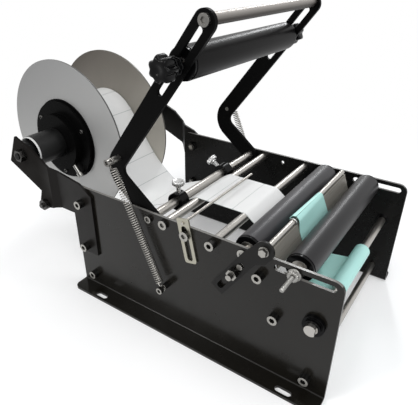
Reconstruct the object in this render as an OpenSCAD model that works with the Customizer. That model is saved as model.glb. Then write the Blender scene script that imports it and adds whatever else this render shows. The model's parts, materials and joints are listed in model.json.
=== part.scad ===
// Bench bottle labelling machine: two bent side plates, cross bars, a label reel on rear brackets,
// two bottle rollers, a peel bar, a liner take-up with a crank, and a sprung lever with a press roller.
// +X is the front, +Z is up, the left plate is at -Y. The origin is the centre of the four foot slots.

/* [Side plates] */
// Distance between the outer faces of the two side plates
frame_w = 220; // [200:1:260]
// Sheet thickness of the side plates
plate_t = 3; // [2:0.5:4]
// Height of the side plates
plate_h = 139; // [136:1:150]
// Front edge of the side plates, measured from the origin
plate_front_x = 159; // [157:1:175]
// Rear edge of the side plates, measured behind the origin
plate_rear_x = 166; // [164:1:180]
// Radius of the upper corners of the side plates
plate_corner_r = 10; // [4:0.5:11]
// Width of the foot flange beyond the outer face
foot_w = 20.5; // [18:0.5:30]
// Inside radius of the bend between plate and foot
foot_bend_r = 1.5; // [1:0.5:3]
// Radius of the foot's free corners
foot_corner_r = 8; // [3:1:10]
// Distance between foot slots along the machine
foot_slot_pitch = 246; // [220:1:270]
// Distance from the plate's outer face to the foot slot
foot_slot_inset = 14.5; // [13:0.5:15]
// Width of a foot slot
foot_slot_w = 6.6; // [5:0.2:8]
// Length of a foot slot from end to end
foot_slot_l = 17; // [10:1:24]

/* [Screws] */
// Diameter of the plate screws
screw_d = 6; // [5:0.5:6]
// Head diameter of a socket cap screw
cap_head_d = 10; // [9:0.5:11]
// Head length of a socket cap screw
cap_head_h = 7.5; // [5:0.5:8]
// Head diameter of a low-headed screw
low_head_d = 10.4; // [9:0.2:11]
// Head length of a low-headed screw
low_head_h = 3.2; // [2:0.2:4]
// Head diameter of the small screws in the pivot shaft
small_head_d = 8; // [7:0.5:9]
// Width across the flats of a screw's socket
socket_af = 5; // [3:0.5:5]
// How far a screw reaches into a bar's end
screw_reach = 12; // [8:1:20]
// Width across the flats of the nuts
nut_af = 10; // [9:0.5:12]
// Thickness of the nuts
nut_h = 5; // [3:0.5:5.5]
// Width across the flats of the reel shaft nuts
shaft_nut_af = 13; // [12:1:16]
// Thickness of the reel shaft nuts
shaft_nut_h = 8; // [5:0.5:9]

/* [Cross bars] */
// Diameter of the cross bars
bar_d = 8; // [7:0.5:8]
// Diameter of the three upper bars that carry the lever and the web
top_d = 10; // [8:0.5:10.5]
// Upper row of bars below the plates' top edge
bar_drop = 8; // [7:0.5:10]
// Pivot shaft of the lever, along the machine
pivot_x = -49.5; // [-52:0.5:-48]
// Feed bar, which the web runs over first
feed_x = -30; // [-31:0.5:-26]
// Exit bar, which the web runs over last
exit_x = 30; // [26:0.5:32]
// Turn bar below the peel bar, along the machine
turn_x = 82; // [80:0.5:83]
// Turn bar below the upper row
turn_drop = 15; // [14:0.5:17]
// Liner bar, along the machine
liner_x = 101; // [98:0.5:103]
// Liner bar below the upper row
liner_drop = 55; // [50:0.5:60]
// Front tie rod, along the machine
front_tie_x = 138.5; // [130:0.5:140]
// Rear tie rod, behind the origin
rear_tie_x = 145; // [140:0.5:150]
// Height of both tie rods
tie_z = 19; // [16:0.5:24]

/* [Reel] */
// Reel axis, behind the origin
reel_x = 237.5; // [233:0.5:242]
// Reel axis above the upper row of bars
reel_up = 30; // [27:0.5:33]
// Diameter of the reel discs
disc_d = 200; // [160:1:210]
// Thickness of a reel disc
disc_t = 2; // [1:0.5:3]
// Outer face of the left disc, from the machine's middle
disc_left_y = 54; // [50:0.5:56]
// Outer face of the right disc, from the machine's middle
disc_right_y = 29; // [26:0.5:34]
// Diameter of the hub tube
hub_d = 38; // [30:0.5:40]
// Room between a bracket's inner face and the hub tube
hub_room = 9; // [8:0.5:13]
// Thickness of the white end ring
ring_t = 2; // [1:0.5:3]
// Diameter of the reel shaft
shaft_d = 12; // [10:0.5:14]
// Diameter of the shaft's threaded ends
shaft_end_d = 8; // [6:0.5:9]
// Diameter of the shaft's shoulders
shoulder_d = 28; // [20:1:32]
// Diameter of the hub flange rim
rim_d = 100; // [80:1:120]
// Thickness of the hub flange rim
rim_t = 6; // [4:0.5:8]
// Diameter of the hub flange boss
boss_d = 72; // [60:1:76]
// Length of the hub flange boss
boss_l = 10; // [8:0.5:12]
// Diameter of the label roll
roll_d = 100; // [70:1:104]
// Diameter of the flange lock screw
lock_d = 5; // [3:0.5:6]
// Direction of the flange lock screw, measured down from the front
lock_angle = 51; // [40:1:60]
// How far the lock screw stands out of the boss
lock_out = 14; // [8:1:18]

/* [Reel brackets] */
// Sheet thickness of the reel brackets
bracket_t = 3; // [2:0.5:4]
// Outward set of the bracket's rear part
bracket_jog = 6; // [4:0.5:8]
// Front edge of the bracket, behind the origin
bracket_front_x = 134; // [130:1:138]
// Lower edge of the bracket
bracket_low_z = 51; // [46:1:54]
// Underside of the left bracket's tail below the upper row of bars
bracket_mid_drop = 30; // [28:1:33]
// Where the bend of the left bracket starts, behind the origin
bracket_bend_x = 188; // [184:1:190]
// Where the bend of the right bracket starts, behind the plate
right_bend_back = 2; // [1:0.5:6]
// How far a bracket's tail runs past the reel axis
bracket_end = 30; // [26:0.5:34]
// Length of the bend along the machine
bracket_bend_l = 8; // [6:0.5:10]
// Bracket screws, behind the origin
bracket_screw_x = 150.5; // [148:0.5:154]
// Upper bracket screw below the upper row of bars
bracket_screw_drop = 12; // [9:0.5:19]
// Lower bracket screw height
bracket_screw_lo = 60; // [58:0.5:66]
// Stud at the left bracket's lower corner, behind the origin
stud_x = 209; // [207:0.5:211]
// Stud below the upper row of bars
stud_drop = 28; // [26:0.5:29]
// Diameter of the stud's round nut
stud_d = 13; // [10:0.5:14]
// How far the stud reaches inside the bracket
stud_in = 10; // [6:0.5:14]
// Thickness of the stud's round nut outside the bracket
stud_out = 6; // [4:0.5:9]

/* [Lever] */
// Width of the lever arms
arm_w = 20.5; // [18:0.5:24]
// Thickness of the lever arms
arm_t = 4; // [3:0.5:4.5]
// Corner of the arm's centre line, behind the origin
elbow_x = 101.7; // [96:0.1:106]
// Height of that corner above the upper row of bars
elbow_up = 41.2; // [37:0.1:47]
// Bend radius of the arm's centre line
elbow_r = 19; // [14:0.5:24]
// Handle rod, along the machine
handle_x = 18; // [10:0.5:22]
// Handle rod above the upper row of bars
handle_up = 197; // [185:1:207]
// Diameter of the handle rod
handle_d = 10; // [9:0.5:12]
// How far the arm's end runs past the handle rod
arm_end = 8; // [6:0.5:11]
// Slot for the press roller: its upper end below the handle rod
slot_top = 10; // [10:0.5:14]
// Slot for the press roller: its lower end below the handle rod
slot_low = 83; // [74:1:86]
// Width of the press roller slot
slot_w = 6.6; // [6.5:0.1:7]
// Press roller axis below the handle rod, at rest
press_drop = 46.8; // [42:0.1:52]
// Diameter of the press roller
press_d = 30; // [26:0.5:32]
// Diameter of the press roller's threaded axle ends
press_end_d = 6; // [5:0.5:6]
// Distance from the elbow to the spring pin along the arm
pin_along = 20.8; // [19:0.2:24]
// Diameter of the clamp knobs
knob_d = 24; // [20:0.5:25]
// Length of a clamp knob's lobed grip
knob_h = 14; // [10:0.5:16]
// Length of a clamp knob's neck
knob_neck = 11; // [8:0.5:13]
// Diameter of a clamp knob's neck
knob_neck_d = 13; // [10:0.5:15]
// Lobes of a clamp knob
knob_lobes = 7; // [5:1:9]

/* [Rollers] */
// Diameter of the bottle rollers
roller_d = 28; // [26:0.5:29]
// Room between a roller's end cap and the lever arm beside it
roller_room = 2.7; // [1.5:0.1:8]
// Wall of the rubber sleeves
sleeve_wall = 4; // [3:0.5:5]
// Thickness of the end caps' flange
cap_t = 3; // [2:0.5:3]
// How far an end cap reaches into its sleeve
cap_in = 14; // [10:1:30]
// Rear roller, along the machine
rear_x = 62.5; // [61:0.5:63.5]
// Front roller at rest, along the machine
front_x = 114.5; // [113:0.5:120]
// Outer diameter of the roller bearings
bearing_d = 16; // [14:0.5:18]
// Length of the roller bearings
bearing_l = 5; // [4:0.5:6]
// Rear end of the front roller's slot, along the machine
front_slot_a = 95; // [92:0.5:97]
// Front end of the front roller's slot, along the machine
front_slot_b = 152; // [150:0.5:153]
// How far the left threaded axle end stands out of the plate
stud_l = 26; // [12:1:30]

/* [Peel bar] */
// Lower end of the slot in the slider, along the machine
slant_x = 40; // [39:0.5:41]
// That lower end below the upper row of bars
slant_drop = 45.3; // [44:0.1:47]
// Slope of the slider from level
slant_angle = 55.8; // [55:0.2:57]
// Width of the slider's shank
slant_w = 15.5; // [14:0.5:16]
// Width of the slider's ear, which holds the peel rod
ear_w = 19; // [17:0.5:20]
// Thickness of the slider
slider_t = 2.5; // [2:0.5:3]
// Distance from the slot's lower end to the peel rod, up the slope
peel_along = 75.6; // [75:0.1:76.5]
// Distance of the peel rod in front of the slot's middle line
peel_aside = 4.2; // [3.5:0.1:5]
// Distance from the slot's lower end to the clamp bolt
clamp_along = 29.5; // [26:0.5:30]
// Distance from the clamp bolt to the guide pin
guide_along = 10; // [9.5:0.5:11]
// Head height of the flat screws under the slider
flat_head_h = 1.2; // [1:0.1:1.6]
// Room between the left plate and the peel sheet
sheet_side = 3.6; // [2:0.1:8]
// Diameter of the peel rod
peel_d = 6; // [5:0.5:6.5]
// How far the peel rod reaches past the machine's middle
peel_reach = 86; // [60:1:98]
// Thickness of the peel sheet
sheet_t = 1.5; // [1:0.1:2]
// Length of the peel sheet down its slope
sheet_l = 20; // [12:0.5:20.5]
// Slope of the peel sheet from level
sheet_slope = 70; // [66:1:76]

/* [Web] */
// Width of the label web
web_w = 78; // [60:1:79]
// Thickness of the web
web_t = 0.4; // [0.3:0.05:0.5]
// Middle of the slack web's loop, behind the origin
loop_x = 112; // [106:1:118]
// Radius of the slack web's loop
loop_r = 28; // [24:1:31]
// Lowest point of the slack web below the upper row of bars
sag_drop = 30; // [26:1:34]
// Radius of the slack web's wide upper bend
sag_r = 150; // [120:5:170]
// Take-up shaft, along the machine
take_x = 138.5; // [132:0.5:140]
// Take-up shaft below the upper row of bars
take_drop = 44; // [41:0.5:48]
// Diameter of the take-up shaft between the plates
take_d = 9; // [7:0.5:10]
// Diameter of the take-up shaft's journals
journal_d = 11.5; // [11:0.5:13]
// Diameter of the wound liner
wound_d = 17; // [14:0.5:24]
// Diameter of the bearing flange
bush_d = 21; // [18:0.5:24]
// Length of the crank between its axes
crank_l = 62; // [50:1:64]
// Width of the crank arm
crank_w = 16; // [15:0.5:18]
// Thickness of the crank arm
crank_t = 5; // [4:0.5:6]
// Diameter of the crank grip
grip_d = 18; // [14:0.5:20]
// Length of the crank grip
grip_l = 44; // [36:1:50]

/* [Guides] */
// Diameter of the guide collars
collar_d = 20; // [16:0.5:22]
// Width of the guide collars
collar_w = 13; // [10:0.5:14]
// Diameter of a thumb screw's head
thumb_d = 14; // [11:0.5:16]
// Height of a thumb screw's head
thumb_h = 5; // [4:0.5:7]
// Free length of a thumb screw's stem
thumb_neck = 9; // [6:0.5:12]
// Diameter of a thumb screw's stem
thumb_stem_d = 5; // [4:0.5:6]
// Lean of the right thumb screw towards the rear
right_thumb_lean = 58; // [0:1:70]
// Lean of the left thumb screw towards the rear
left_thumb_lean = 0; // [0:1:70]
// Width of the wire strip
strip_w = 14.5; // [12:0.5:16]
// Length of the wire strip
strip_l = 50; // [46:1:54]
// Thickness of the wire strip
strip_t = 2; // [1.5:0.5:2.5]
// Lean of the wire strip from upright
strip_lean = 12; // [8:1:14]
// Strip screw, along the machine
strip_x = -1; // [-3:0.5:2]
// Strip screw below the upper row of bars
strip_drop = 1.5; // [0:0.5:4]
// Distance from the strip screw to the press wire
wire_up = 13.5; // [12.5:0.5:15]
// Diameter of the spare hole in the right plate, across from the strip screw
spare_d = 4.5; // [3:0.5:6]
// Diameter of the press wire
wire_d = 3; // [2:0.5:4]
// How far the press wire reaches past the machine's middle
wire_reach = 25; // [10:1:60]

/* [Springs] */
// Outer diameter of the lever springs
spring_d = 9; // [7:0.5:9.5]
// Wire diameter of the lever springs
spring_wire = 1.4; // [1:0.1:1.5]
// Curls of each spring
spring_curls = 44; // [30:1:44]
// Lower spring anchor, behind the origin
anchor_x = 29.2; // [26:0.2:32]
// Lower spring anchor height
anchor_z = 53.5; // [50:0.5:58]
// Diameter of the spring pins
pin_d = 5; // [4:0.5:5]
// Distance from the plate to the springs' axis
spring_out = 8.5; // [8.5:0.5:10]
// Diameter of a spring pin's head
pin_head_d = 7.5; // [7:0.5:9]
// Thickness of a spring pin's head
pin_head_h = 4; // [3:0.5:5]
// Diameter of a spring pin's base
pin_base_d = 7; // [6:0.5:9]

/* [Hidden] */
$fn = 64;

// Clearances: a running fit, a screw in its hole, a loose gap between moving pieces
run = 0.05;
loose = 0.2;
gap = 0.3;
// Overshoot of cutting shapes
over = 1;

// Heights that follow the plates' top edge
bar_z = plate_h - bar_drop;
turn_z = bar_z - turn_drop;
liner_z = bar_z - liner_drop;
reel_z = bar_z + reel_up;
bracket_mid_z = bar_z - bracket_mid_drop;
bracket_screw_hi = bar_z - bracket_screw_drop;
stud_z = bar_z - stud_drop;
elbow_z = bar_z + elbow_up;
handle_z = bar_z + handle_up;
slant_z = bar_z - slant_drop;
sag_z = bar_z - sag_drop;
take_z = bar_z - take_drop;
strip_z = bar_z - strip_drop;

// Faces of the side plates
y_out = frame_w / 2;
y_in = y_out - plate_t;
y_slot = y_out + foot_slot_inset;
// Faces that slide or swing beside a plate
y_swing = y_in - gap;
y_arm_in = y_swing - arm_t;
y_slider_in = y_out + flat_head_h + gap;
y_slider = y_slider_in + slider_t;

// Bracket faces
y_bracket = y_out + bracket_t;
y_bracket_rear = y_bracket + bracket_jog;
y_bracket_rear_in = y_bracket_rear - bracket_t;

// Lever geometry in the side view
pivot = [pivot_x, bar_z];
elbow = [-elbow_x, elbow_z];
handle = [handle_x, handle_z];
arm_dir = (handle - elbow) / norm(handle - elbow);
low_dir = (pivot - elbow) / norm(pivot - elbow);
arm_tilt = atan2(arm_dir[1], arm_dir[0]);
low_tilt = atan2(low_dir[1], low_dir[0]);
elbow_half = (arm_tilt - low_tilt) / 2;
elbow_tangent = elbow_r / tan(elbow_half);
elbow_dir = [cos((arm_tilt + low_tilt) / 2), sin((arm_tilt + low_tilt) / 2)];
elbow_centre = elbow + elbow_dir * elbow_r / sin(elbow_half);
arm_tip = handle + arm_dir * (arm_end - arm_w / 2);
press_at = handle - arm_dir * press_drop;
spring_pin = elbow + arm_dir * pin_along;
anchor = [-anchor_x, anchor_z];

// Peel bar geometry in the side view
rear_roller = [rear_x, bar_z];
slant_low = [slant_x, slant_z];
slant_dir = [cos(slant_angle), sin(slant_angle)];
slant_right = [sin(slant_angle), -cos(slant_angle)];
clamp = slant_low + slant_dir * clamp_along;
guide = clamp + slant_dir * guide_along;
peel = slant_low + slant_dir * peel_along + slant_right * peel_aside;
sheet_dir = [cos(sheet_slope), -sin(sheet_slope)];
sheet_out = [sin(sheet_slope), cos(sheet_slope)];
sheet_start = sqrt(pow(peel_d / 2 + run, 2) - pow(peel_d / 2 - sheet_t, 2));
sheet_edge = peel + sheet_out * peel_d / 2 + sheet_dir * (sheet_start + sheet_l);
// Travel of the slider down its slope
slider_down = 2.5;
peel_bolt_d = 4;
peel_head_d = 9;
peel_head_h = 4.5;

// Places of the bars that take a cap screw at each end, and of those with low heads
cap_bars = [[exit_x, bar_z], [turn_x, turn_z], [liner_x, liner_z], [front_tie_x, tie_z],
  [-rear_tie_x, tie_z]];
low_bars = [[pivot_x, bar_z], [feed_x, bar_z], rear_roller];
stud = [-stud_x, stud_z];
bracket_holes = [[-bracket_screw_x, bracket_screw_hi], [-bracket_screw_x, bracket_screw_lo]];
front_roller = [front_x, bar_z];
take = [take_x, take_z];
reel = [-reel_x, reel_z];
strip_at = [strip_x, strip_z];
web_mid_y = (disc_right_y - disc_left_y) / 2;
web_y0 = web_mid_y - web_w / 2;

// Roller parts
cap_y = y_arm_in - roller_room;
sleeve_y = cap_y - cap_t;
axle_shoulder_d = 11;

// Axial places of the take-up and its crank
bush_t = 4;
bush_neck = 3;
journal_in = y_in;
y_crank = y_out + cap_head_h + 1.5;
y_grip = y_crank + crank_t + 1;

// Helpers: a slab between two planes across the machine, a round bar, a tube, a hexagonal bar
module slab(y0, y1) {
  translate([0, y1, 0]) rotate([90, 0, 0]) linear_extrude(height = y1 - y0) children();
}
module bar(at, d, y0, y1) {
  translate([at[0], y0, at[1]]) rotate([-90, 0, 0]) cylinder(d = d, h = y1 - y0);
}
module pipe(at, d, bore, y0, y1) {
  difference() {
    bar(at, d, y0, y1);
    bar(at, bore, y0 - over, y1 + over);
  }
}
module hex_bar(at, af, y0, y1) {
  translate([at[0], y0, at[1]]) rotate([-90, 0, 0]) cylinder(d = af / cos(30), h = y1 - y0, $fn = 6);
}
module nut(at, af, bore, y0, y1) {
  difference() {
    hex_bar(at, af, y0, y1);
    bar(at, bore, y0 - over, y1 + over);
  }
}
// Half a disc on the left of the side view's upright axis
module half_disc(d) {
  intersection() {
    circle(d = d);
    translate([-d, -d]) square([d, 2 * d]);
  }
}
// A flat strip in the side view with round ends
module strip2d(a, b, w) {
  length = norm(b - a);
  translate(a) rotate(atan2(b[1] - a[1], b[0] - a[0])) {
    half_disc(w);
    translate([0, -w / 2]) square([length, w]);
    translate([length, 0]) rotate(180) half_disc(w);
  }
}
// Both sides of the machine: the left side as drawn, then its mirror image
module both_sides() {
  children();
  mirror([0, 1, 0]) children();
}
module right_side() {
  mirror([0, 1, 0]) children();
}
// A screw that points to +Y with its head's seat at y
module screw(at, y, d, head_d, head_h, length) {
  difference() {
    union() {
      bar(at, head_d, y - head_h, y);
      bar(at, d, y - over, y + length);
    }
    hex_bar(at, socket_af, y - head_h - over, y - head_h * 0.45);
  }
}
// A bar across the frame with a tapped hole in each end
module tapped_bar(at, d, half, tap) {
  difference() {
    bar(at, d, -half, half);
    both_sides() bar(at, tap + 2 * run, -half - over, -half + screw_reach + over);
  }
}

// Side plates
module foot_profile() {
  bend = [-(y_out + foot_bend_r), plate_t + foot_bend_r];
  outer = foot_bend_r + plate_t;
  translate([-y_out, bend[1]]) square([plate_t, plate_h - bend[1]]);
  translate([-y_out - foot_w, 0]) square([foot_w - foot_bend_r, plate_t]);
  translate(bend) intersection() {
    difference() {
      circle(r = outer);
      circle(r = foot_bend_r);
    }
    translate([0, -outer]) square([outer, outer]);
  }
}
module corner_cut(r) {
  difference() {
    translate([-over, -over]) square(r + over);
    translate([r, r]) circle(r = r);
  }
}
module plate_blank() {
  length = plate_front_x + plate_rear_x;
  translate([-plate_rear_x, 0, 0]) rotate([90, 0, 90]) linear_extrude(height = length) foot_profile();
}
module plate_cuts() {
  for (p = concat(cap_bars, low_bars, bracket_holes))
    bar(p, screw_d + 2 * loose, -y_out - over, -y_in + over);
  bar(anchor, pin_d + 2 * run, -y_out - over, -y_in + over);
  bar(take, journal_d + 5 + 2 * run, -y_out - over, -y_in + over);
  slab(-y_out - over, -y_in + over) {
    strip2d([front_slot_a + screw_d / 2, bar_z], [front_slot_b - screw_d / 2, bar_z], screw_d + 2 * gap);
    translate([plate_front_x, plate_h]) rotate(180) corner_cut(plate_corner_r);
    translate([-plate_rear_x, plate_h]) rotate(-90) corner_cut(plate_corner_r);
  }
  for (x = [-1, 1]) translate([x * foot_slot_pitch / 2, -y_slot, -over])
    linear_extrude(height = plate_t + 2 * over)
      strip2d([(foot_slot_w - foot_slot_l) / 2, 0], [(foot_slot_l - foot_slot_w) / 2, 0], foot_slot_w);
  translate([0, 0, -over]) linear_extrude(height = plate_t + 2 * over) {
    translate([-plate_rear_x, -y_out - foot_w]) corner_cut(foot_corner_r);
    translate([plate_front_x, -y_out - foot_w]) rotate(90) corner_cut(foot_corner_r);
  }
}
module side_plate() {
  difference() {
    plate_blank();
    plate_cuts();
  }
}
// The left plate also holds the strip screw, the slider's clamp bolt and its guide pin
module left_side_plate() {
  color("#3c3b39") difference() {
    side_plate();
    bar(strip_at, screw_d + 2 * loose, -y_out - over, -y_in + over);
    for (p = [clamp, guide]) bar(p, screw_d + 2 * run, -y_out - over, -y_in + over);
  }
}
module right_side_plate() {
  color("#3c3b39") right_side() difference() {
    side_plate();
    bar(strip_at, spare_d, -y_out - over, -y_in + over);
  }
}

// Reel brackets: a stepped plan shape cut to the bracket's outline
module bracket_plan(bend_x) {
  y0 = -y_out;
  y1 = -y_bracket;
  tail = reel_x + disc_d;
  bend_end = bend_x + bracket_bend_l;
  polygon([[-bracket_front_x + over, y0], [-bend_x, y0], [-bend_end, y0 - bracket_jog],
    [-tail, y0 - bracket_jog], [-tail, y1 - bracket_jog], [-bend_end, y1 - bracket_jog],
    [-bend_x, y1], [-bracket_front_x + over, y1]]);
}
// Both outlines start with the part on the plate, up its front edge and back over the plate's corner
bracket_foot = [[-bracket_front_x, bracket_low_z], [-bracket_front_x, plate_h - 8],
  [-plate_rear_x + 14, plate_h + 4]];
module left_outline() {
  polygon(concat(bracket_foot, [[-bracket_bend_x, plate_h + 10], reel + [20, 7], reel + [-12, 20],
    reel + [-bracket_end, -15], stud + [-6, 16], stud + [-13, -3], stud + [-1, -6],
    [-bracket_bend_x - 6, bracket_mid_z], [-plate_rear_x, bracket_mid_z], [-plate_rear_x, bracket_low_z]]));
}
// The right tail is a sloping band without the stud's corner
module right_outline() {
  polygon(concat(bracket_foot, [[-plate_rear_x - 9, plate_h + 11], reel + [46, 3], reel + [21, 13],
    reel + [-12, 20], reel + [-bracket_end, -15], reel + [-8, -24], reel + [24, -29], reel + [41, -36],
    [-plate_rear_x - 12, plate_h - 22], [-plate_rear_x, plate_h - 40], [-plate_rear_x, bracket_low_z]]));
}
module reel_bracket(bend_x) {
  tall = 2 * reel_z;
  difference() {
    intersection() {
      linear_extrude(height = tall) bracket_plan(bend_x);
      slab(-y_bracket_rear - over, -y_out + over) children();
    }
    for (p = bracket_holes) bar(p, screw_d + 2 * loose, -y_bracket - over, -y_out + over);
    bar(reel, shaft_end_d + 2 * run, -y_bracket_rear - over, -y_bracket_rear_in + over);
  }
}
module left_reel_bracket() {
  color("#232222") difference() {
    reel_bracket(bracket_bend_x) left_outline();
    bar(stud, screw_d + 2 * run, -y_bracket_rear - over, -y_bracket_rear_in + over);
  }
}
module right_reel_bracket() {
  color("#232222") right_side() reel_bracket(plate_rear_x + right_bend_back) right_outline();
}

// Fasteners of the frame
module plate_screws() {
  reach = plate_t + screw_reach;
  color("#c9c7c2") {
    both_sides() {
      for (p = cap_bars) screw(p, -y_out, screw_d, cap_head_d, cap_head_h, reach);
      screw(pivot, -y_out, screw_d, small_head_d, low_head_h, reach);
      screw([feed_x, bar_z], -y_out, screw_d, low_head_d, low_head_h, reach);
      screw(rear_roller, -y_out, screw_d, low_head_d, flat_head_h, reach);
      for (p = bracket_holes)
        screw(p, -y_bracket, screw_d, cap_head_d, cap_head_h, bracket_t + plate_t + nut_h + over);
    }
    screw(strip_at, -y_out - strip_t - 2 * gap, screw_d, low_head_d, low_head_h, strip_t + 2 * gap + plate_t);
  }
}
// The stud is a bolt through the left bracket with a round nut outside and a plain end inside
module bracket_hardware() {
  stud_end = 3;
  color("#1b1b1b") {
    both_sides() {
      for (p = bracket_holes) nut(p, nut_af, screw_d + 2 * run, -y_in, -y_in + nut_h);
      nut(reel, shaft_nut_af, shaft_end_d + 2 * run, -y_bracket_rear - shaft_nut_h, -y_bracket_rear);
    }
    bar(stud, stud_d, -y_bracket_rear - stud_out, -y_bracket_rear);
    bar(stud, screw_d, -y_bracket_rear - stud_out - stud_end, -y_bracket_rear_in + over);
    bar(stud, cap_head_d, -y_bracket_rear_in, -y_bracket_rear_in + stud_in);
  }
}

// Cross bars
module pivot_shaft() { color("#d2d0cb") tapped_bar(pivot, top_d, y_in, screw_d); }
module feed_bar() { color("#d2d0cb") tapped_bar([feed_x, bar_z], top_d, y_in, screw_d); }
module exit_bar() { color("#d2d0cb") tapped_bar([exit_x, bar_z], top_d, y_in, screw_d); }
module turn_bar() { color("#d2d0cb") tapped_bar([turn_x, turn_z], bar_d, y_in, screw_d); }
module liner_bar() { color("#d2d0cb") tapped_bar([liner_x, liner_z], bar_d, y_in, screw_d); }
module tie_rods() {
  color("#d2d0cb") {
    tapped_bar([front_tie_x, tie_z], bar_d, y_in, screw_d);
    tapped_bar([-rear_tie_x, tie_z], bar_d, y_in, screw_d);
  }
}
module rear_roller_axle() { color("#d2d0cb") tapped_bar(rear_roller, bar_d, y_in, screw_d); }

// Spring pins: a round base, a pin for the spring's hook and a socket head beyond it
y_spring = y_out + spring_out;
y_pin_base = y_spring - spring_wire - 2 * gap;
y_pin_head = y_spring + spring_wire + 2 * gap;
module spring_post(at, seat, pin_end) {
  socket_h = pin_head_h / 2;
  difference() {
    union() {
      bar(at, pin_d, -y_pin_head - over, -pin_end);
      bar(at, pin_base_d, -y_pin_base, -seat);
      bar(at, pin_head_d, -y_pin_head - pin_head_h, -y_pin_head);
    }
    hex_bar(at, pin_head_d / 2, -y_pin_head - pin_head_h - over, -y_pin_head - pin_head_h + socket_h);
  }
}
module spring_anchors() { color("#c9c7c2") both_sides() spring_post(anchor, y_out, y_in); }

// Springs: one wire each, wound about the line from the anchor to the lever's pin
spring_from = anchor;
spring_to = spring_pin;
spring_span = norm(spring_to - spring_from);
spring_axis = (spring_to - spring_from) / spring_span;
spring_mean_r = (spring_d - spring_wire) / 2;
spring_tail = pin_d / 2 + 2 * run;
spring_lead = 6;
spring_wound = spring_span - 2 * (spring_tail + spring_lead);
curl_rings = 8;
wire_sides = 6;
spring_steps = spring_curls * curl_rings;
// Share of the full radius: it grows over the first curl and shrinks over the last
function curl_r(t) = spring_mean_r * min(1, t / 0.75, (spring_curls - t) / 0.75);
function spring_local(t) =
  [curl_r(t) * cos(360 * t), curl_r(t) * sin(360 * t), spring_tail + spring_lead + spring_wound * t / spring_curls];
function spring_line() = concat(
  [[0, 0, spring_tail], [0, 0, spring_tail + spring_lead - spring_wire]],
  [for (i = [0:spring_steps]) spring_local(i / curl_rings)],
  [[0, 0, spring_span - spring_tail - spring_lead + spring_wire], [0, 0, spring_span - spring_tail]]);
function unit(v) = v / norm(v);
function flat_to(v, t) = unit(v - t * (v * t));
function spring_place(p) =
  [spring_from[0] + spring_axis[0] * p[2] + spring_axis[1] * p[0], -y_spring + p[1],
   spring_from[1] + spring_axis[1] * p[2] - spring_axis[0] * p[0]];
function wire_turn(i, n) = i < 2 ? 0 : i > n - 3 ? 360 * spring_curls : 360 * (i - 2) / curl_rings;
function wire_gap(line) = min([for (i = [0:len(line) - 6]) min([for (j = [i + 5:len(line) - 1])
  norm(line[i] - line[j])])]) - spring_wire;
module spring() {
  line = spring_line();
  n = len(line);
  echo(spring_least_gap = wire_gap(line));
  rings = [for (i = [0:n - 1])
    let (t = unit(line[min(n - 1, i + 1)] - line[max(0, i - 1)]),
         a = flat_to([cos(wire_turn(i, n)), sin(wire_turn(i, n)), 0], t), b = cross(t, a))
    for (k = [0:wire_sides - 1])
      spring_place(line[i] + spring_wire / 2 * (cos(60 * k) * a + sin(60 * k) * b))];
  walls = [for (i = [0:n - 2]) for (k = [0:wire_sides - 1])
    let (p = i * wire_sides + k, q = i * wire_sides + (k + 1) % wire_sides)
    each [[p, q, q + wire_sides], [p, q + wire_sides, p + wire_sides]]];
  last = (n - 1) * wire_sides;
  ends = [for (k = [1:wire_sides - 2]) each [[0, k + 1, k], [last, last + k, last + k + 1]]];
  polyhedron(points = rings, faces = concat(walls, ends));
}
module left_spring() { color("#b9b9b6") spring(); }
module right_spring() { color("#b9b9b6") right_side() spring(); }

// Web path: each stop is a centre and the signed distance at which the web passes it,
// positive where the web runs on the right of its travel
function heading(a, b) = let (d = [b[0] - a[0], b[1] - a[1]])
  atan2(d[1], d[0]) + asin((a[2] - b[2]) / norm(d));
half_turn = 180;
function turn_to(from, to) = to - from > half_turn ? to - 2 * half_turn :
  to - from < -half_turn ? to + 2 * half_turn : to;
function beside(stop, dir) = [stop[0] + stop[2] * sin(dir), stop[1] - stop[2] * cos(dir)];
function wrap(stop, dir_in, dir_out) =
  let (turn = turn_to(dir_in, dir_out) - dir_in, n = max(1, ceil(abs(turn) / 9)))
  turn * stop[2] <= 0 ? [beside(stop, dir_in + turn / 2)] :
  [for (i = [0:n]) beside(stop, dir_in + turn * i / n)];
// Points along a run of stops, entered and left at given headings
function run_path(stops, first, last) = [for (i = [0:len(stops) - 1])
  let (a = i == 0 ? first : heading(stops[i - 1], stops[i]),
       b = i == len(stops) - 1 ? last : heading(stops[i], stops[i + 1]))
  each wrap(stops[i], a, b)];
function side_of(path, i, off) = let (t = unit(path[min(len(path) - 1, i + 1)] - path[max(0, i - 1)]))
  path[i] + off * [t[1], -t[0]];
module ribbon(path) {
  n = len(path);
  polygon(concat([for (i = [0:n - 1]) side_of(path, i, web_t / 2)],
    [for (i = [n - 1:-1:0]) side_of(path, i, -web_t / 2)]));
}
bar_pass = bar_d / 2 + web_t / 2 + run;
top_pass = top_d / 2 + web_t / 2 + run;
moving_pass = web_t / 2 + gap;
pivot_stop = [pivot_x, bar_z, top_pass];
feed_stop = [feed_x, bar_z, -top_pass];
exit_stop = [exit_x, bar_z, -top_pass];
rear_stop = [rear_x, bar_z, roller_d / 2 + moving_pass];
turn_stop = [turn_x, turn_z, bar_pass];
peel_stop = [peel[0], peel[1], -(peel_d / 2 + moving_pass)];
edge_stop = [sheet_edge[0], sheet_edge[1], -moving_pass];
liner_stop = [liner_x, liner_z, bar_pass];
wound_stop = [take_x, take_z, wound_d / 2 + moving_pass];
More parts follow.
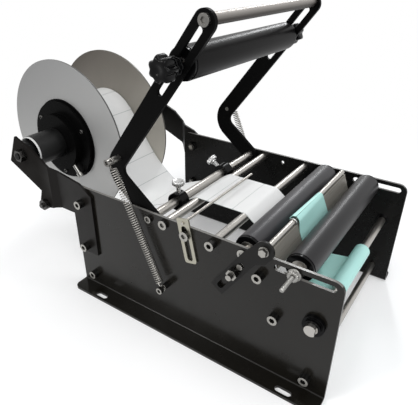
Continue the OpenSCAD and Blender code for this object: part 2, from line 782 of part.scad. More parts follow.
// The web leaves the roll, sags in a wide bend that tightens to a loop and rises to the pivot shaft
roll_stop = [reel[0], reel[1], -(roll_d / 2 + moving_pass)];
loop_stop = [-loop_x, sag_z + loop_r, loop_r];
sag_turn = 35;
sag_way = 1.001 * (sag_r - loop_r);
sag_stop = [loop_stop[0] + sag_way * sin(sag_turn), loop_stop[1] + sag_way * cos(sag_turn), sag_r];
roll_leave = heading(roll_stop, sag_stop);
peel_top = -15;
function label_path() = run_path([roll_stop, sag_stop, loop_stop, pivot_stop, feed_stop, exit_stop,
  rear_stop, turn_stop, peel_stop], roll_leave + 4, peel_top);
function liner_path() =
  run_path([peel_stop, edge_stop, liner_stop, wound_stop], peel_top - 2, heading(liner_stop, wound_stop) + 6);
module label_web() { color("#ecebe6") slab(web_y0, web_y0 + web_w) ribbon(label_path()); }
module liner_web() { color("#a5d7cd") slab(web_y0, web_y0 + web_w) ribbon(liner_path()); }

// Lever arm: two straight stretches joined by a round elbow, with the press roller's slot
module arm_stretch(length) {
  translate([0, -arm_w / 2]) square([length, arm_w]);
  translate([length, 0]) rotate(180) half_disc(arm_w);
}
// The bend laps a little way into both stretches and lies just inside their edges
module arm_elbow() {
  lap = 4;
  reach = 4 * (elbow_r + arm_w);
  turn = 180 - arm_tilt + low_tilt;
  intersection() {
    difference() {
      circle(r = elbow_r + arm_w / 2 - run);
      circle(r = elbow_r - arm_w / 2 + run);
    }
    polygon(concat([[0, 0]], [for (a = [-lap, turn / 2, turn + lap]) reach * [-sin(a), cos(a)]]));
  }
}
module arm_shape() {
  difference() {
    translate(elbow_centre) rotate(arm_tilt) {
      translate([0, elbow_r]) arm_stretch(norm(arm_tip - elbow) - elbow_tangent);
      arm_elbow();
      rotate(low_tilt - arm_tilt) translate([0, -elbow_r]) arm_stretch(norm(pivot - elbow) - elbow_tangent);
    }
    strip2d(handle - arm_dir * slot_top, handle - arm_dir * (slot_low - slot_w / 2), slot_w);
  }
}
module lever_arm() {
  difference() {
    slab(-y_swing, -y_arm_in) arm_shape();
    bar(pivot, top_d + 2 * run, -y_swing - over, -y_arm_in + over);
    bar(handle, screw_d + 2 * run, -y_swing - over, -y_arm_in + over);
    bar(spring_pin, pin_d + 2 * run, -y_swing - over, -y_arm_in + over);
  }
}
module left_lever_arm() { color("#161616") lever_arm(); }
module right_lever_arm() { color("#161616") right_side() lever_arm(); }
module handle_rod() { color("#d8d4ce") tapped_bar(handle, handle_d, y_arm_in, screw_d); }
module lever_fasteners() {
  color("#c9c7c2") both_sides() {
    screw(handle, -y_swing, screw_d, low_head_d, low_head_h, arm_t + screw_reach);
    spring_post(spring_pin, y_swing, y_arm_in);
  }
}

// Press roller on an axle that slides in the arms' slots
knob_in = y_swing + gap;
knob_grip = knob_in + knob_neck;
module press_axle() {
  shoulder = y_arm_in - gap;
  thread = knob_grip + knob_h / 2;
  color("#d2d0cb") {
    bar(press_at, press_end_d, -thread, thread);
    bar(press_at, bar_d, -shoulder, shoulder);
    both_sides() bar(press_at, axle_shoulder_d, -shoulder, -cap_y - gap);
  }
}
module knob_shape() {
  lobe = 3.5;
  circle(d = knob_d - 2 * lobe);
  for (i = [0:knob_lobes - 1]) rotate(360 * i / knob_lobes)
    translate([knob_d / 2 - lobe, 0]) circle(r = lobe);
}
// A lobed grip on a neck with two thick washer rings
module knob() {
  ring_d = knob_neck_d + 4;
  ring_h = knob_neck / 4;
  difference() {
    union() {
      translate([press_at[0], -knob_grip, press_at[1]])
        rotate([90, 0, 0]) linear_extrude(height = knob_h) knob_shape();
      bar(press_at, knob_neck_d, -knob_grip - over, -knob_in);
      for (i = [0, 2]) bar(press_at, ring_d, -knob_in - ring_h * (i + 1), -knob_in - ring_h * i);
    }
    bar(press_at, press_end_d + 2 * run, -knob_grip - knob_h * 0.75, -y_swing);
  }
}
module left_knob() { color("#141414") knob(); }
module right_knob() { color("#141414") right_side() knob(); }

// Rollers: a rubber sleeve on two end caps; the bottle rollers' caps hold a bearing each
module sleeve(at, d) { pipe(at, d, d - 2 * sleeve_wall, -sleeve_y, sleeve_y); }
module caps(at, d, bore, seat) {
  both_sides() difference() {
    union() {
      bar(at, d - 1, -cap_y, -sleeve_y);
      bar(at, d - 2 * sleeve_wall - 2 * run, -cap_y, -sleeve_y + cap_in);
    }
    bar(at, bore, -cap_y - over, -sleeve_y + cap_in + over);
    bar(at, seat, -cap_y - over, -cap_y + bearing_l);
  }
}
module bearings(at) {
  both_sides() pipe(at, bearing_d, bar_d + 2 * run, -cap_y - 0.5, -cap_y + bearing_l - run);
}
module press_sleeve() { color("#454341") sleeve(press_at, press_d); }
module press_caps() { color("#121212") caps(press_at, press_d, bar_d + 2 * run, bar_d + 2 * run); }
module rear_sleeve() { color("#454444") sleeve(rear_roller, roller_d); }
module rear_caps() { color("#121212") caps(rear_roller, roller_d, bar_d + 2, bearing_d + 2 * run); }
module rear_bearings() { color("#b9b9b6") bearings(rear_roller); }
module front_sleeve() { color("#454444") sleeve(front_roller, roller_d); }
module front_caps() { color("#121212") caps(front_roller, roller_d, bar_d + 2, bearing_d + 2 * run); }
module front_bearings() { color("#b9b9b6") bearings(front_roller); }
module front_axle() {
  color("#d2d0cb") {
    bar(front_roller, bar_d, -y_swing, y_swing);
    bar(front_roller, screw_d, -y_out - stud_l, y_out + gap + nut_h + 0.5);
  }
}
module front_axle_nuts() {
  color("#c9c7c2") both_sides() nut(front_roller, nut_af, screw_d + 2 * run, -y_out - gap - nut_h, -y_out - gap);
}

// Peel bar: a slotted slider on the left plate, its clamp bolt and guide pin, a rod, a sheet and a bolt
slide_w = screw_d + 2 * gap;
module slider_shape() {
  ear_in = peel_aside - ear_w / 2;
  ear_out = peel_aside + ear_w / 2;
  ear_low = peel_along - ear_w;
  tail = 4;
  slot_end = clamp_along + guide_along + slider_down + gap;
  translate(slant_low) rotate(slant_angle) {
    difference() {
      union() {
        translate([-tail, -slant_w / 2]) square([ear_low + 2 * tail, slant_w]);
        polygon([[ear_low, slant_w / 2], [peel_along, -ear_in], [peel_along, -ear_out],
          [ear_low + ear_w / 2, -ear_out], [ear_low, -slant_w / 2]]);
        translate([peel_along, -peel_aside]) rotate(180) half_disc(ear_w);
      }
      strip2d([slide_w / 2, 0], [slot_end, 0], slide_w);
    }
  }
}
module left_peel_slider() {
  color("#1d1c1c") difference() {
    slab(-y_slider, -y_slider_in) slider_shape();
    bar(peel, peel_bolt_d + 2 * run, -y_slider - over, -y_slider_in + over);
  }
}
// The bolt has a flat head inside the plate, a washer under the slider and a nut over it
module peel_clamp() {
  head_h = 3;
  end_out = 5;
  nut_at = y_slider + gap;
  color("#c9c7c2") {
    bar(clamp, cap_head_d, -y_in, -y_in + head_h);
    bar(clamp, screw_d, -nut_at - nut_h - end_out, -y_in + over);
    pipe(clamp, cap_head_d, screw_d + 2 * run, -y_out - flat_head_h, -y_out);
    nut(clamp, nut_af, screw_d + 2 * run, -nut_at - nut_h, -nut_at);
    bar(guide, screw_d, -y_slider, -y_in);
    bar(guide, screw_d + 2, -y_out - flat_head_h, -y_out);
  }
}
module peel_rod() {
  color("#cfc6b8") difference() {
    bar(peel, peel_d, -y_slider_in, peel_reach);
    bar(peel, peel_bolt_d + 2 * run, -y_slider_in - over, -y_slider_in + screw_reach + over);
  }
}
module peel_plate() {
  color("#a9a294") slab(-y_in + sheet_side, peel_reach)
    translate(peel) rotate(-sheet_slope) translate([sheet_start, peel_d / 2 - sheet_t]) square([sheet_l, sheet_t]);
}
module peel_fasteners() {
  bolt_l = slider_t + screw_reach;
  color("#c9c7c2") screw(peel, -y_slider, peel_bolt_d, peel_head_d, peel_head_h, bolt_l);
}

// Press wire on its slotted strip, which leans back and slides on one screw
strip_dir = [-sin(strip_lean), cos(strip_lean)];
wire_at = strip_at + strip_dir * wire_up;
module strip_shape() {
  corner = 3;
  top = wire_up + 4.5;
  low = top - strip_l;
  translate(strip_at) rotate(strip_lean) difference() {
    translate([-strip_w / 2, low]) square([strip_w, strip_l]);
    translate([-strip_w / 2, low]) corner_cut(corner);
    translate([strip_w / 2, low]) rotate(90) corner_cut(corner);
    strip2d([0, low + 6], [0, wire_up / 2], screw_d + 2 * gap);
    translate([0, wire_up]) circle(d = wire_d + 2 * run);
  }
}
module wire_strip() { color("#c8b996") slab(-y_out - gap - strip_t, -y_out - gap) strip_shape(); }
module press_wire() {
  color("#c4c2bd") bar(wire_at, wire_d, -y_out - gap - strip_t - 1.5, wire_reach);
}

// Guide collars on the pivot shaft, each with a thumb screw on top
collar_left_y = web_y0 - 1.5 - collar_w;
collar_right_y = web_y0 + web_w + 1.5;
thumb_reach = collar_d / 2 - top_d / 2 - 1;
module thumb_line(y0, lean) {
  translate([pivot_x, y0 + collar_w / 2, bar_z]) rotate([0, -lean, 0]) children();
}
module collar(y0, lean) {
  difference() {
    pipe(pivot, collar_d, top_d + 2 * run, y0, y0 + collar_w);
    thumb_line(y0, lean) cylinder(d = thumb_stem_d + 2 * run, h = collar_d);
  }
}
module thumb_screw(y0, lean) {
  foot = collar_d / 2 - thumb_reach;
  neck = collar_d / 2 + thumb_neck;
  rim_h = 2;
  thumb_line(y0, lean) {
    translate([0, 0, foot]) cylinder(d = thumb_stem_d, h = neck - foot + over);
    translate([0, 0, neck - rim_h]) cylinder(d = thumb_d * 0.6, h = rim_h + over);
    translate([0, 0, neck]) cylinder(d = thumb_d, h = thumb_h);
  }
}
module left_collar() { color("#1a1a1c") collar(collar_left_y, left_thumb_lean); }
module right_collar() { color("#1a1a1c") collar(collar_right_y, right_thumb_lean); }
module left_thumb_screw() { color("#bcc4c8") thumb_screw(collar_left_y, left_thumb_lean); }
module right_thumb_screw() { color("#bcc4c8") thumb_screw(collar_right_y, right_thumb_lean); }

// Reel: fixed shaft, turning hub, two flanged discs and the label roll
hub_y = y_bracket_rear_in - hub_room;
module reel_shaft() {
  thread = y_bracket_rear + shaft_nut_h + 1;
  color("#2a2a2a") {
    bar(reel, shaft_d, -y_bracket_rear_in, y_bracket_rear_in);
    bar(reel, shaft_end_d, -thread, thread);
    both_sides() bar(reel, shoulder_d, -y_bracket_rear_in, -hub_y - ring_t - gap);
  }
}
module hub_tube() { color("#1c1c1d") pipe(reel, hub_d, shaft_d + 2 * run, -hub_y, hub_y); }
module hub_rings() {
  color("#dedede") both_sides() pipe(reel, hub_d - 0.8, shaft_d + 2 * run, -hub_y - ring_t, -hub_y);
}
// A flange drawn for the left side: its inner face lies against the disc at y
module hub_flange(y) {
  difference() {
    union() {
      bar(reel, rim_d, y - rim_t, y);
      bar(reel, boss_d, y - rim_t - boss_l, y - rim_t + over);
    }
    bar(reel, hub_d + 2 * run, y - rim_t - boss_l - over, y + over);
    lock_line(y) cylinder(d = lock_d + 2 * run, h = boss_d);
  }
}
module lock_line(y) {
  translate([reel[0], y - rim_t - boss_l / 2, reel[1]]) rotate([0, 90 + lock_angle, 0]) children();
}
module flange_lock_screw() {
  color("#b9bdae") lock_line(-disc_left_y) {
    translate([0, 0, hub_d / 2 + 2 * run + gap]) cylinder(d = lock_d, h = boss_d / 2 + lock_out - hub_d / 2 - 2);
    translate([0, 0, boss_d / 2 + lock_out - 3]) cylinder(d = lock_d + 3, h = 5);
  }
}
module left_hub_flange() { color("#121212") hub_flange(-disc_left_y); }
module right_hub_flange() { color("#121212") right_side() hub_flange(-disc_right_y); }
module left_reel_disc() {
  color("#969899") pipe(reel, disc_d, hub_d + 2 * run, -disc_left_y, -disc_left_y + disc_t);
}
module right_reel_disc() {
  color("#8d8880") pipe(reel, disc_d, hub_d + 2 * run, disc_right_y - disc_t, disc_right_y);
}
module label_roll() {
  color("#e6e6e2") pipe(reel, roll_d, hub_d + 2 * run, -disc_left_y + disc_t + gap, disc_right_y - disc_t - gap);
}

// Liner take-up: shaft in two flanged bushes, wound liner, crank and grip on the right
bush_body_d = journal_d + 5;
module take_up_bearings() {
  color("#0e0e0e") both_sides() difference() {
    union() {
      bar(take, bush_d, -y_out - bush_t, -y_out);
      bar(take, bush_body_d, -y_out - bush_t - bush_neck, -y_in);
    }
    bar(take, journal_d + 2 * run, -y_out - bush_t - bush_neck - over, -y_in + over);
  }
}
module take_up_shaft() {
  flat = 1.5;
  left_end = y_out + bush_t + bush_neck + 4;
  right_end = y_crank + crank_t + 0.5;
  color("#cfcdc6") difference() {
    union() {
      bar(take, take_d, -journal_in - over, journal_in + over);
      bar(take, journal_d, -left_end, -journal_in);
      bar(take, journal_d, journal_in, right_end);
    }
    translate([take_x + journal_d / 2 - flat, -left_end - over, take_z - journal_d])
      cube([journal_d, left_end - y_out - bush_t - bush_neck - gap + over, 2 * journal_d]);
  }
}
module liner_roll() { color("#9fd2ca") pipe(take, wound_d, take_d + 2 * run, web_y0, web_y0 + web_w); }
crank_pin = take - [0, crank_l];
grip_bore = 6;
module crank_arm() {
  color("#1b1b1b") {
    difference() {
      slab(y_crank, y_crank + crank_t) strip2d(take, crank_pin, crank_w);
      bar(take, journal_d + 2 * run, y_crank - over, y_crank + crank_t + over);
    }
    bar(crank_pin, grip_bore, y_crank + crank_t - over, y_grip + grip_l + 0.5);
    bar(crank_pin, grip_bore + 4, y_grip + grip_l + 0.5, y_grip + grip_l + 3);
  }
}
module crank_grip() {
  color("#101010") pipe(crank_pin, grip_d, grip_bore + 2 * run, y_grip, y_grip + grip_l);
}

left_side_plate();
right_side_plate();
left_reel_bracket();
right_reel_bracket();
plate_screws();
bracket_hardware();
pivot_shaft();
feed_bar();
exit_bar();
turn_bar();
liner_bar();
tie_rods();
spring_anchors();
reel_shaft();
rear_roller_axle();
take_up_bearings();
label_web();
liner_web();
left_spring();
right_spring();
left_lever_arm();
right_lever_arm();
handle_rod();
lever_fasteners();
press_axle();
left_knob();
right_knob();
press_sleeve();
press_caps();
rear_sleeve();
rear_caps();
rear_bearings();
front_axle();
front_axle_nuts();
front_sleeve();
front_caps();
front_bearings();
left_peel_slider();
peel_clamp();
peel_rod();
peel_plate();
peel_fasteners();
wire_strip();
press_wire();
left_collar();
right_collar();
left_thumb_screw();
right_thumb_screw();
hub_tube();
hub_rings();
right_hub_flange();
right_reel_disc();
label_roll();
left_hub_flange();
left_reel_disc();
flange_lock_screw();
take_up_shaft();
liner_roll();
crank_arm();
crank_grip();
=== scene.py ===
"""Dresses the bottle labeling machine: finishes, springs, paper, small turned pieces, studio and camera."""
import json
import math

import bpy
from mathutils import Matrix, Vector


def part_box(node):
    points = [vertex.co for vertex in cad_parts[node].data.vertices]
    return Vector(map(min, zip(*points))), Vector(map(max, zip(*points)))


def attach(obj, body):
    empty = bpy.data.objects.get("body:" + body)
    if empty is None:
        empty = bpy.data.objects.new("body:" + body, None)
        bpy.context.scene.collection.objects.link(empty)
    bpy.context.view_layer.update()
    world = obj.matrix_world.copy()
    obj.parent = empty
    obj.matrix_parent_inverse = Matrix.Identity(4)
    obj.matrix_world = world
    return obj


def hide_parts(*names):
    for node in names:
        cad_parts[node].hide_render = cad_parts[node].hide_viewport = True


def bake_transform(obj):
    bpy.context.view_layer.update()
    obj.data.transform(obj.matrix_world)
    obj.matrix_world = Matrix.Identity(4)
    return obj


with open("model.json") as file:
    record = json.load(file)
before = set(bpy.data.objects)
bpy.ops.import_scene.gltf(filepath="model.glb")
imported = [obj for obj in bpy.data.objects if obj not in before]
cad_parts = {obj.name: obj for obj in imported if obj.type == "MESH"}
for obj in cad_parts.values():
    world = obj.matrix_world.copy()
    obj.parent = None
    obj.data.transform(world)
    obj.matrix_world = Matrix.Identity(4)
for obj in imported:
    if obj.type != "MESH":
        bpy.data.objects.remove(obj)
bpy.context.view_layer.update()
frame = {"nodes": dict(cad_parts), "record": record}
nodes = frame["nodes"]

MM = 0.001
TURN = 2 * math.pi


def low(node):
    return Vector(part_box(node)[0])


def high(node):
    return Vector(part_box(node)[1])


def centre(node):
    return (low(node) + high(node)) / 2


def span(node):
    return high(node) - low(node)


# The reel's axis, and how far the side plates' inner and outer faces lie from the middle
REEL = centre("label_roll")
PLATE_IN = low("right_side_plate").y
PLATE_OUT = low("right_reel_bracket").y


# Finishes


class Finish:
    """A procedural material: one principled shader and the textures that drive it."""

    # Where the masks for noise, edges, sides and hollows start and end to count
    NOISE = (0.3, 0.7)
    EDGE = (0.02, 0.25)
    SIDE = (0.35, 0.75)
    HOLLOW = (0.25, 0.6)
    SAMPLES = 6
    # Sockets of a colour mix
    MIX_FIRST, MIX_SECOND, MIX_RESULT = 6, 7, 2

    def __init__(self, name, colour, rough, metal=0.0, **sockets):
        self.material = bpy.data.materials.new(name)
        self.material.use_nodes = True
        self.tree = self.material.node_tree
        self.shader = self.tree.nodes["Principled BSDF"]
        self.shader.inputs["Base Color"].default_value = (*colour, 1)
        self.shader.inputs["Roughness"].default_value = rough
        self.shader.inputs["Metallic"].default_value = metal
        for socket, value in sockets.items():
            self.shader.inputs[socket.replace("_", " ")].default_value = value
        self.place = self.add("ShaderNodeTexCoord").outputs["Object"]
        self.normal = None

    def add(self, kind, **inputs):
        """A new node with its inputs fed."""
        node = self.tree.nodes.new(kind)
        for name, value in inputs.items():
            self.feed(node.inputs[name.replace("_", " ")], value)
        return node

    def feed(self, socket, value):
        """Links a socket to another, or sets it to a value."""
        if isinstance(value, bpy.types.NodeSocket):
            self.tree.links.new(value, socket)
        else:
            socket.default_value = value

    def math(self, operation, a, b=0.0):
        node = self.add("ShaderNodeMath")
        node.operation = operation
        self.feed(node.inputs[0], a)
        self.feed(node.inputs[1], b)
        return node.outputs[0]

    def vector(self, operation, a, b=(0, 0, 0)):
        node = self.add("ShaderNodeVectorMath")
        node.operation = operation
        self.feed(node.inputs[0], a)
        self.feed(node.inputs[1], b)
        return node.outputs["Value" if operation in ("LENGTH", "DOT_PRODUCT") else "Vector"]

    def noise(self, scale, detail=3.0, stretch=(1, 1, 1), vector=None):
        """Cloudy noise; scale counts features in a metre, stretch multiplies it on each axis."""
        place = self.add("ShaderNodeMapping", Vector=vector or self.place, Scale=stretch).outputs[0]
        node = self.add("ShaderNodeTexNoise", Vector=place, Scale=scale, Detail=detail)
        return node.outputs["Fac"]

    def span(self, fac, lowest, highest, start=NOISE[0], end=NOISE[1]):
        """Maps fac between start and end to the range from lowest to highest."""
        node = self.add("ShaderNodeMapRange")
        node.clamp = True
        for name, value in zip(("Value", "From Min", "From Max", "To Min", "To Max"),
                               (fac, start, end, lowest, highest)):
            self.feed(node.inputs[name], value)
        return node.outputs["Result"]

    def rough(self, fac, lowest, highest):
        self.feed(self.shader.inputs["Roughness"], self.span(fac, lowest, highest))

    def tint(self, fac, colour, amount=1.0):
        """Mixes a second colour into the base colour where fac is high."""
        socket = self.shader.inputs["Base Color"]
        mix = self.add("ShaderNodeMix")
        mix.data_type = "RGBA"
        self.feed(mix.inputs[0], self.span(fac, 0.0, amount))
        first = socket.links[0].from_socket if socket.links else socket.default_value
        self.feed(mix.inputs[self.MIX_FIRST], first)
        self.feed(mix.inputs[self.MIX_SECOND], (*colour, 1))
        self.feed(socket, mix.outputs[self.MIX_RESULT])

    def bump(self, fac, depth, strength=1.0):
        node = self.add("ShaderNodeBump", Height=fac, Strength=strength, Distance=depth)
        if self.normal:
            self.feed(node.inputs["Normal"], self.normal)
        self.normal = node.outputs["Normal"]
        self.feed(self.shader.inputs["Normal"], self.normal)

    def soften(self, radius):
        """Rounds the shading of sharp edges and returns a mask that is high along them."""
        bevel = self.add("ShaderNodeBevel", Radius=radius)
        bevel.samples = self.SAMPLES
        self.normal = bevel.outputs[0]
        self.feed(self.shader.inputs["Normal"], self.normal)
        flat = self.vector("DOT_PRODUCT", self.normal, self.add("ShaderNodeNewGeometry").outputs["Normal"])
        return self.span(self.math("SUBTRACT", 1.0, flat), 0.0, 1.0, *self.EDGE)

    def along(self, axis):
        """The place along one axis."""
        return self.add("ShaderNodeSeparateXYZ", Vector=self.place).outputs[axis]

    def facing(self, axis):
        """How far the surface faces along one axis."""
        normal = self.add("ShaderNodeNewGeometry").outputs["Normal"]
        return self.add("ShaderNodeSeparateXYZ", Vector=normal).outputs[axis]

    def sideways(self):
        """High where the surface faces along the machine or up, low where it faces across."""
        return self.span(self.math("ABSOLUTE", self.facing("Y")), 1.0, 0.0, *self.SIDE)

    def paint_hollow_shade(self, reach, colour):
        """Paints shade into hollows such as sockets and slots."""
        node = self.add("ShaderNodeAmbientOcclusion", Distance=reach)
        node.samples = self.SAMPLES
        node.only_local = True
        self.tint(self.span(node.outputs["AO"], 1.0, 0.0, *self.HOLLOW), colour)


def toned(colour, share):
    """A lighter or darker copy of a colour."""
    return [min(1.0, share * c) for c in colour]


# Upward faces above the height of the feet get a painted highlight, paler as if lit from above
TOP_HIGHLIGHT_HEIGHT = (12 * MM, 20 * MM)
TOP_HIGHLIGHT_FACING = (0.6, 0.8)
DULLED_ROUGH = 0.6


def powder_coat(name, colour, worn, rough, gloss, top_highlight=None, dulled=None):
    """Baked paint: orange peel, faint clouding, edges worn brighter and, if given, a painted highlight on
    upward faces.

    Between the two places along the machine in dulled, if given, the paint turns matt towards the back.
    """
    finish = Finish(name, colour, rough, Specular_IOR_Level=gloss)
    edge = finish.soften(0.2 * MM)
    peel = finish.noise(1100, 2)
    finish.tint(finish.noise(14, 4), toned(colour, 1.3), 0.6)
    finish.tint(finish.noise(420, 3), toned(colour, 0.8), 0.5)
    finish.tint(finish.math("MULTIPLY", edge, finish.noise(60, 3)), worn, 0.7)
    # Painted highlight: upward faces above the feet are tinted paler, as if lit from above
    if top_highlight:
        upper = finish.span(finish.along("Z"), 0.0, 1.0, *TOP_HIGHLIGHT_HEIGHT)
        upward = finish.span(finish.facing("Z"), 0.0, 1.0, *TOP_HIGHLIGHT_FACING)
        finish.tint(finish.math("MULTIPLY", upper, upward), top_highlight)
    finish.rough(finish.noise(45, 4), rough - 0.06, rough + 0.08)
    if dulled:
        socket = finish.shader.inputs["Roughness"]
        matt = finish.span(finish.along("X"), DULLED_ROUGH, 0.0, *dulled)
        finish.feed(socket, finish.math("ADD", socket.links[0].from_socket, matt))
    finish.bump(peel, 0.05 * MM, 0.4)
    return finish.material


def polished_bar(name, colour, rough, along, warm, underside_shade=None, metal=1.0):
    """Drawn bar: fine lines along it, faint warm streaks and, if given, painted shade on its underside."""
    finish = Finish(name, colour, rough, metal)
    finish.soften(0.3 * MM)
    stretch = [0.015 if axis == along else 1 for axis in "xyz"]
    lines = finish.noise(900, 2, stretch)
    finish.tint(finish.noise(160, 2, stretch), warm, 0.45)
    finish.tint(finish.noise(18, 4), toned(colour, 0.86), 0.5)
    # Painted shade: the underside is tinted darker, as if lit from above
    if underside_shade:
        finish.tint(finish.span(finish.facing("Z"), *reversed(Finish.NOISE), -0.3, 0.6), underside_shade)
    finish.rough(lines, rough - 0.04, rough + 0.06)
    finish.bump(lines, 0.004 * MM, 0.2)
    return finish.material


# Painted shade in hollows: how far it reaches, and the colours it darkens to
HOLLOW_REACH = 3 * MM
PLATED_HOLLOW_SHADE = (0.02, 0.019, 0.018)
SOCKET_HOLLOW_SHADE = (0.012, 0.012, 0.012)


def plated_metal(name, colour, stain, rough):
    """Zinc plate: mottled, slightly cloudy, brighter on its edges, with painted shade in its recesses."""
    finish = Finish(name, colour, rough, 1.0)
    edge = finish.soften(0.4 * MM)
    finish.tint(finish.noise(170, 5), stain, 0.6)
    finish.tint(edge, toned(colour, 1.2), 0.5)
    # Painted shade darkens the recesses
    finish.paint_hollow_shade(HOLLOW_REACH, PLATED_HOLLOW_SHADE)
    finish.rough(finish.noise(320, 4), rough - 0.07, rough + 0.09)
    finish.bump(finish.noise(2000, 2), 0.008 * MM, 0.3)
    return finish.material


def cap_screw(name, face, side, rough):
    """Socket screws across the machine: turned faces, sides in a tone of their own, painted shade in their
    sockets.
    """
    finish = Finish(name, face, rough, 1.0)
    edge = finish.soften(0.35 * MM)
    finish.tint(finish.noise(230, 4), toned(face, 0.8), 0.6)
    finish.tint(finish.sideways(), side)
    finish.tint(edge, toned(face, 1.15), 0.6)
    # Painted shade darkens the sockets
    finish.paint_hollow_shade(HOLLOW_REACH, SOCKET_HOLLOW_SHADE)
    finish.rough(finish.noise(320, 3), rough - 0.05, rough + 0.1)
    finish.bump(finish.noise(1500, 2, (1, 0.2, 1)), 0.02 * MM, 0.4)
    return finish.material


def ground_rubber(name, colour, rough, gloss):
    """Ground rubber: fine rings round the roller, dusty patches."""
    finish = Finish(name, colour, rough, Specular_IOR_Level=gloss)
    finish.soften(0.5 * MM)
    rings = finish.noise(1300, 3, (0.02, 1, 0.02))
    finish.tint(finish.noise(22, 5), toned(colour, 1.35), 0.6)
    finish.tint(finish.noise(900, 2), toned(colour, 0.9), 0.3)
    finish.rough(rings, rough - 0.01, rough + 0.01)
    finish.bump(finish.noise(55, 2), 0.02 * MM, 0.1)
    return finish.material


def moulded_plastic(name, colour, rough, gloss):
    """Moulded plastic: fine spark grain, slight gloss changes, softened edges."""
    finish = Finish(name, colour, rough, Specular_IOR_Level=gloss)
    edge = finish.soften(0.6 * MM)
    finish.tint(finish.noise(35, 4), toned(colour, 1.5), 0.5)
    finish.tint(edge, toned(colour, 1.8), 0.5)
    finish.rough(finish.noise(140, 4), rough - 0.07, rough + 0.09)
    finish.bump(finish.noise(1900, 2), 0.03 * MM, 0.3)
    return finish.material


# Painted shade and reflection: the discs darken along this direction, from one rim to the other
SHADE_WAY = (-0.51, 0, 0.86)
SHADE_REACH = 110 * MM
DISC_ROUGH, DISC_METAL = 0.4, 0.35


def brushed_disc(name, colour, shade_colour, sheen_fan):
    """Spun sheet: brushed round the reel's axis, a painted fan of sheen, painted shade and reflection to the
    upper left, dark edges.
    """
    finish = Finish(name, colour, DISC_ROUGH, DISC_METAL)
    finish.soften(0.4 * MM)
    offset = finish.vector("SUBTRACT", finish.place, REEL)
    radius = finish.vector("LENGTH", finish.vector("MULTIPLY", offset, (1, 0, 1)))
    rings = finish.noise(2600, 3, vector=finish.add("ShaderNodeCombineXYZ", X=radius).outputs[0])
    parts = finish.add("ShaderNodeSeparateXYZ", Vector=offset).outputs
    turn = finish.math("ARCTAN2", parts["Z"], parts["X"])
    sector = finish.add("ShaderNodeCombineXYZ", X=turn).outputs[0]
    # Painted sheen: a fan of darker sectors round the reel's axis
    finish.tint(finish.noise(1.6, 3, vector=sector), toned(colour, 0.55), sheen_fan)
    finish.tint(rings, toned(colour, 0.93), 0.25)
    # Painted shade and reflection: darker towards the upper left
    lean = finish.vector("DOT_PRODUCT", offset, SHADE_WAY)
    finish.tint(finish.span(lean, *Finish.NOISE, -SHADE_REACH, SHADE_REACH), shade_colour)
    finish.tint(finish.sideways(), toned(colour, 0.12))
    finish.rough(rings, DISC_ROUGH - 0.04, DISC_ROUGH + 0.06)
    finish.bump(rings, 0.005 * MM, 0.25)
    return finish.material


PAPER_GLOSS = 0.3


def paper(name, colour, shade, rough):
    """Label stock: fine fibres, faint clouding, a low sheen."""
    finish = Finish(name, colour, rough, Specular_IOR_Level=PAPER_GLOSS)
    finish.tint(finish.noise(40, 4), shade, 0.5)
    fibres = finish.noise(2800, 3, (1, 0.35, 1))
    finish.tint(fibres, toned(colour, 0.96), 0.5)
    finish.rough(finish.noise(300, 3), rough - 0.06, rough + 0.06)
    finish.bump(fibres, 0.02 * MM, 0.3)
    return finish.material


# Painted highlight on the plates' upward cut edges, and where the left bracket's tail turns matt
CUT_EDGE_HIGHLIGHT = (0.17, 0.165, 0.155)
TAIL_START = (-215 * MM, -185 * MM)

# One finish for each material slot
finishes = {
    "plate_black": powder_coat("plate_black", (0.0070, 0.0062, 0.0048), worn=(0.016, 0.015, 0.014),
                               rough=0.21, gloss=0.28, top_highlight=CUT_EDGE_HIGHLIGHT),
    "bracket_black": powder_coat("bracket_black", (0.0026, 0.0026, 0.0026), worn=(0.02, 0.02, 0.02),
                                 rough=0.40, gloss=0.025),
    "bright_steel": polished_bar("bright_steel", (0.47, 0.455, 0.43), rough=0.32, along="y",
                                 warm=(0.38, 0.35, 0.31)),
    "zinc_screws": cap_screw("zinc_screws", (0.38, 0.37, 0.345), side=(0.05, 0.049, 0.047), rough=0.34),
    "black_steel": powder_coat("black_steel", (0.0035, 0.0035, 0.0035), worn=(0.05, 0.05, 0.05),
                               rough=0.30, gloss=0.08),
    "roller_rubber": ground_rubber("roller_rubber", (0.0085, 0.0080, 0.0090), rough=0.38, gloss=0.27),
    "black_plastic": moulded_plastic("black_plastic", (0.0022, 0.0022, 0.0024), rough=0.16, gloss=0.10),
    "white_plastic": moulded_plastic("white_plastic", (0.60, 0.60, 0.59), rough=0.40, gloss=0.40),
    "disc_alloy": brushed_disc("disc_alloy", (0.50, 0.50, 0.49), shade_colour=(0.205, 0.205, 0.205), sheen_fan=0.12),
    "peel_sheet": polished_bar("peel_sheet", (0.34, 0.325, 0.29), rough=0.30, along="y",
                               warm=(0.28, 0.25, 0.21), metal=0.4),
    "yellow_zinc": plated_metal("yellow_zinc", (0.41, 0.395, 0.33), stain=(0.36, 0.345, 0.29), rough=0.36),
    "label_paper": paper("label_paper", (0.79, 0.79, 0.78), shade=(0.74, 0.745, 0.74), rough=0.55),
    "liner_paper": paper("liner_paper", (0.45, 0.77, 0.72), shade=(0.40, 0.72, 0.67), rough=0.40),
}

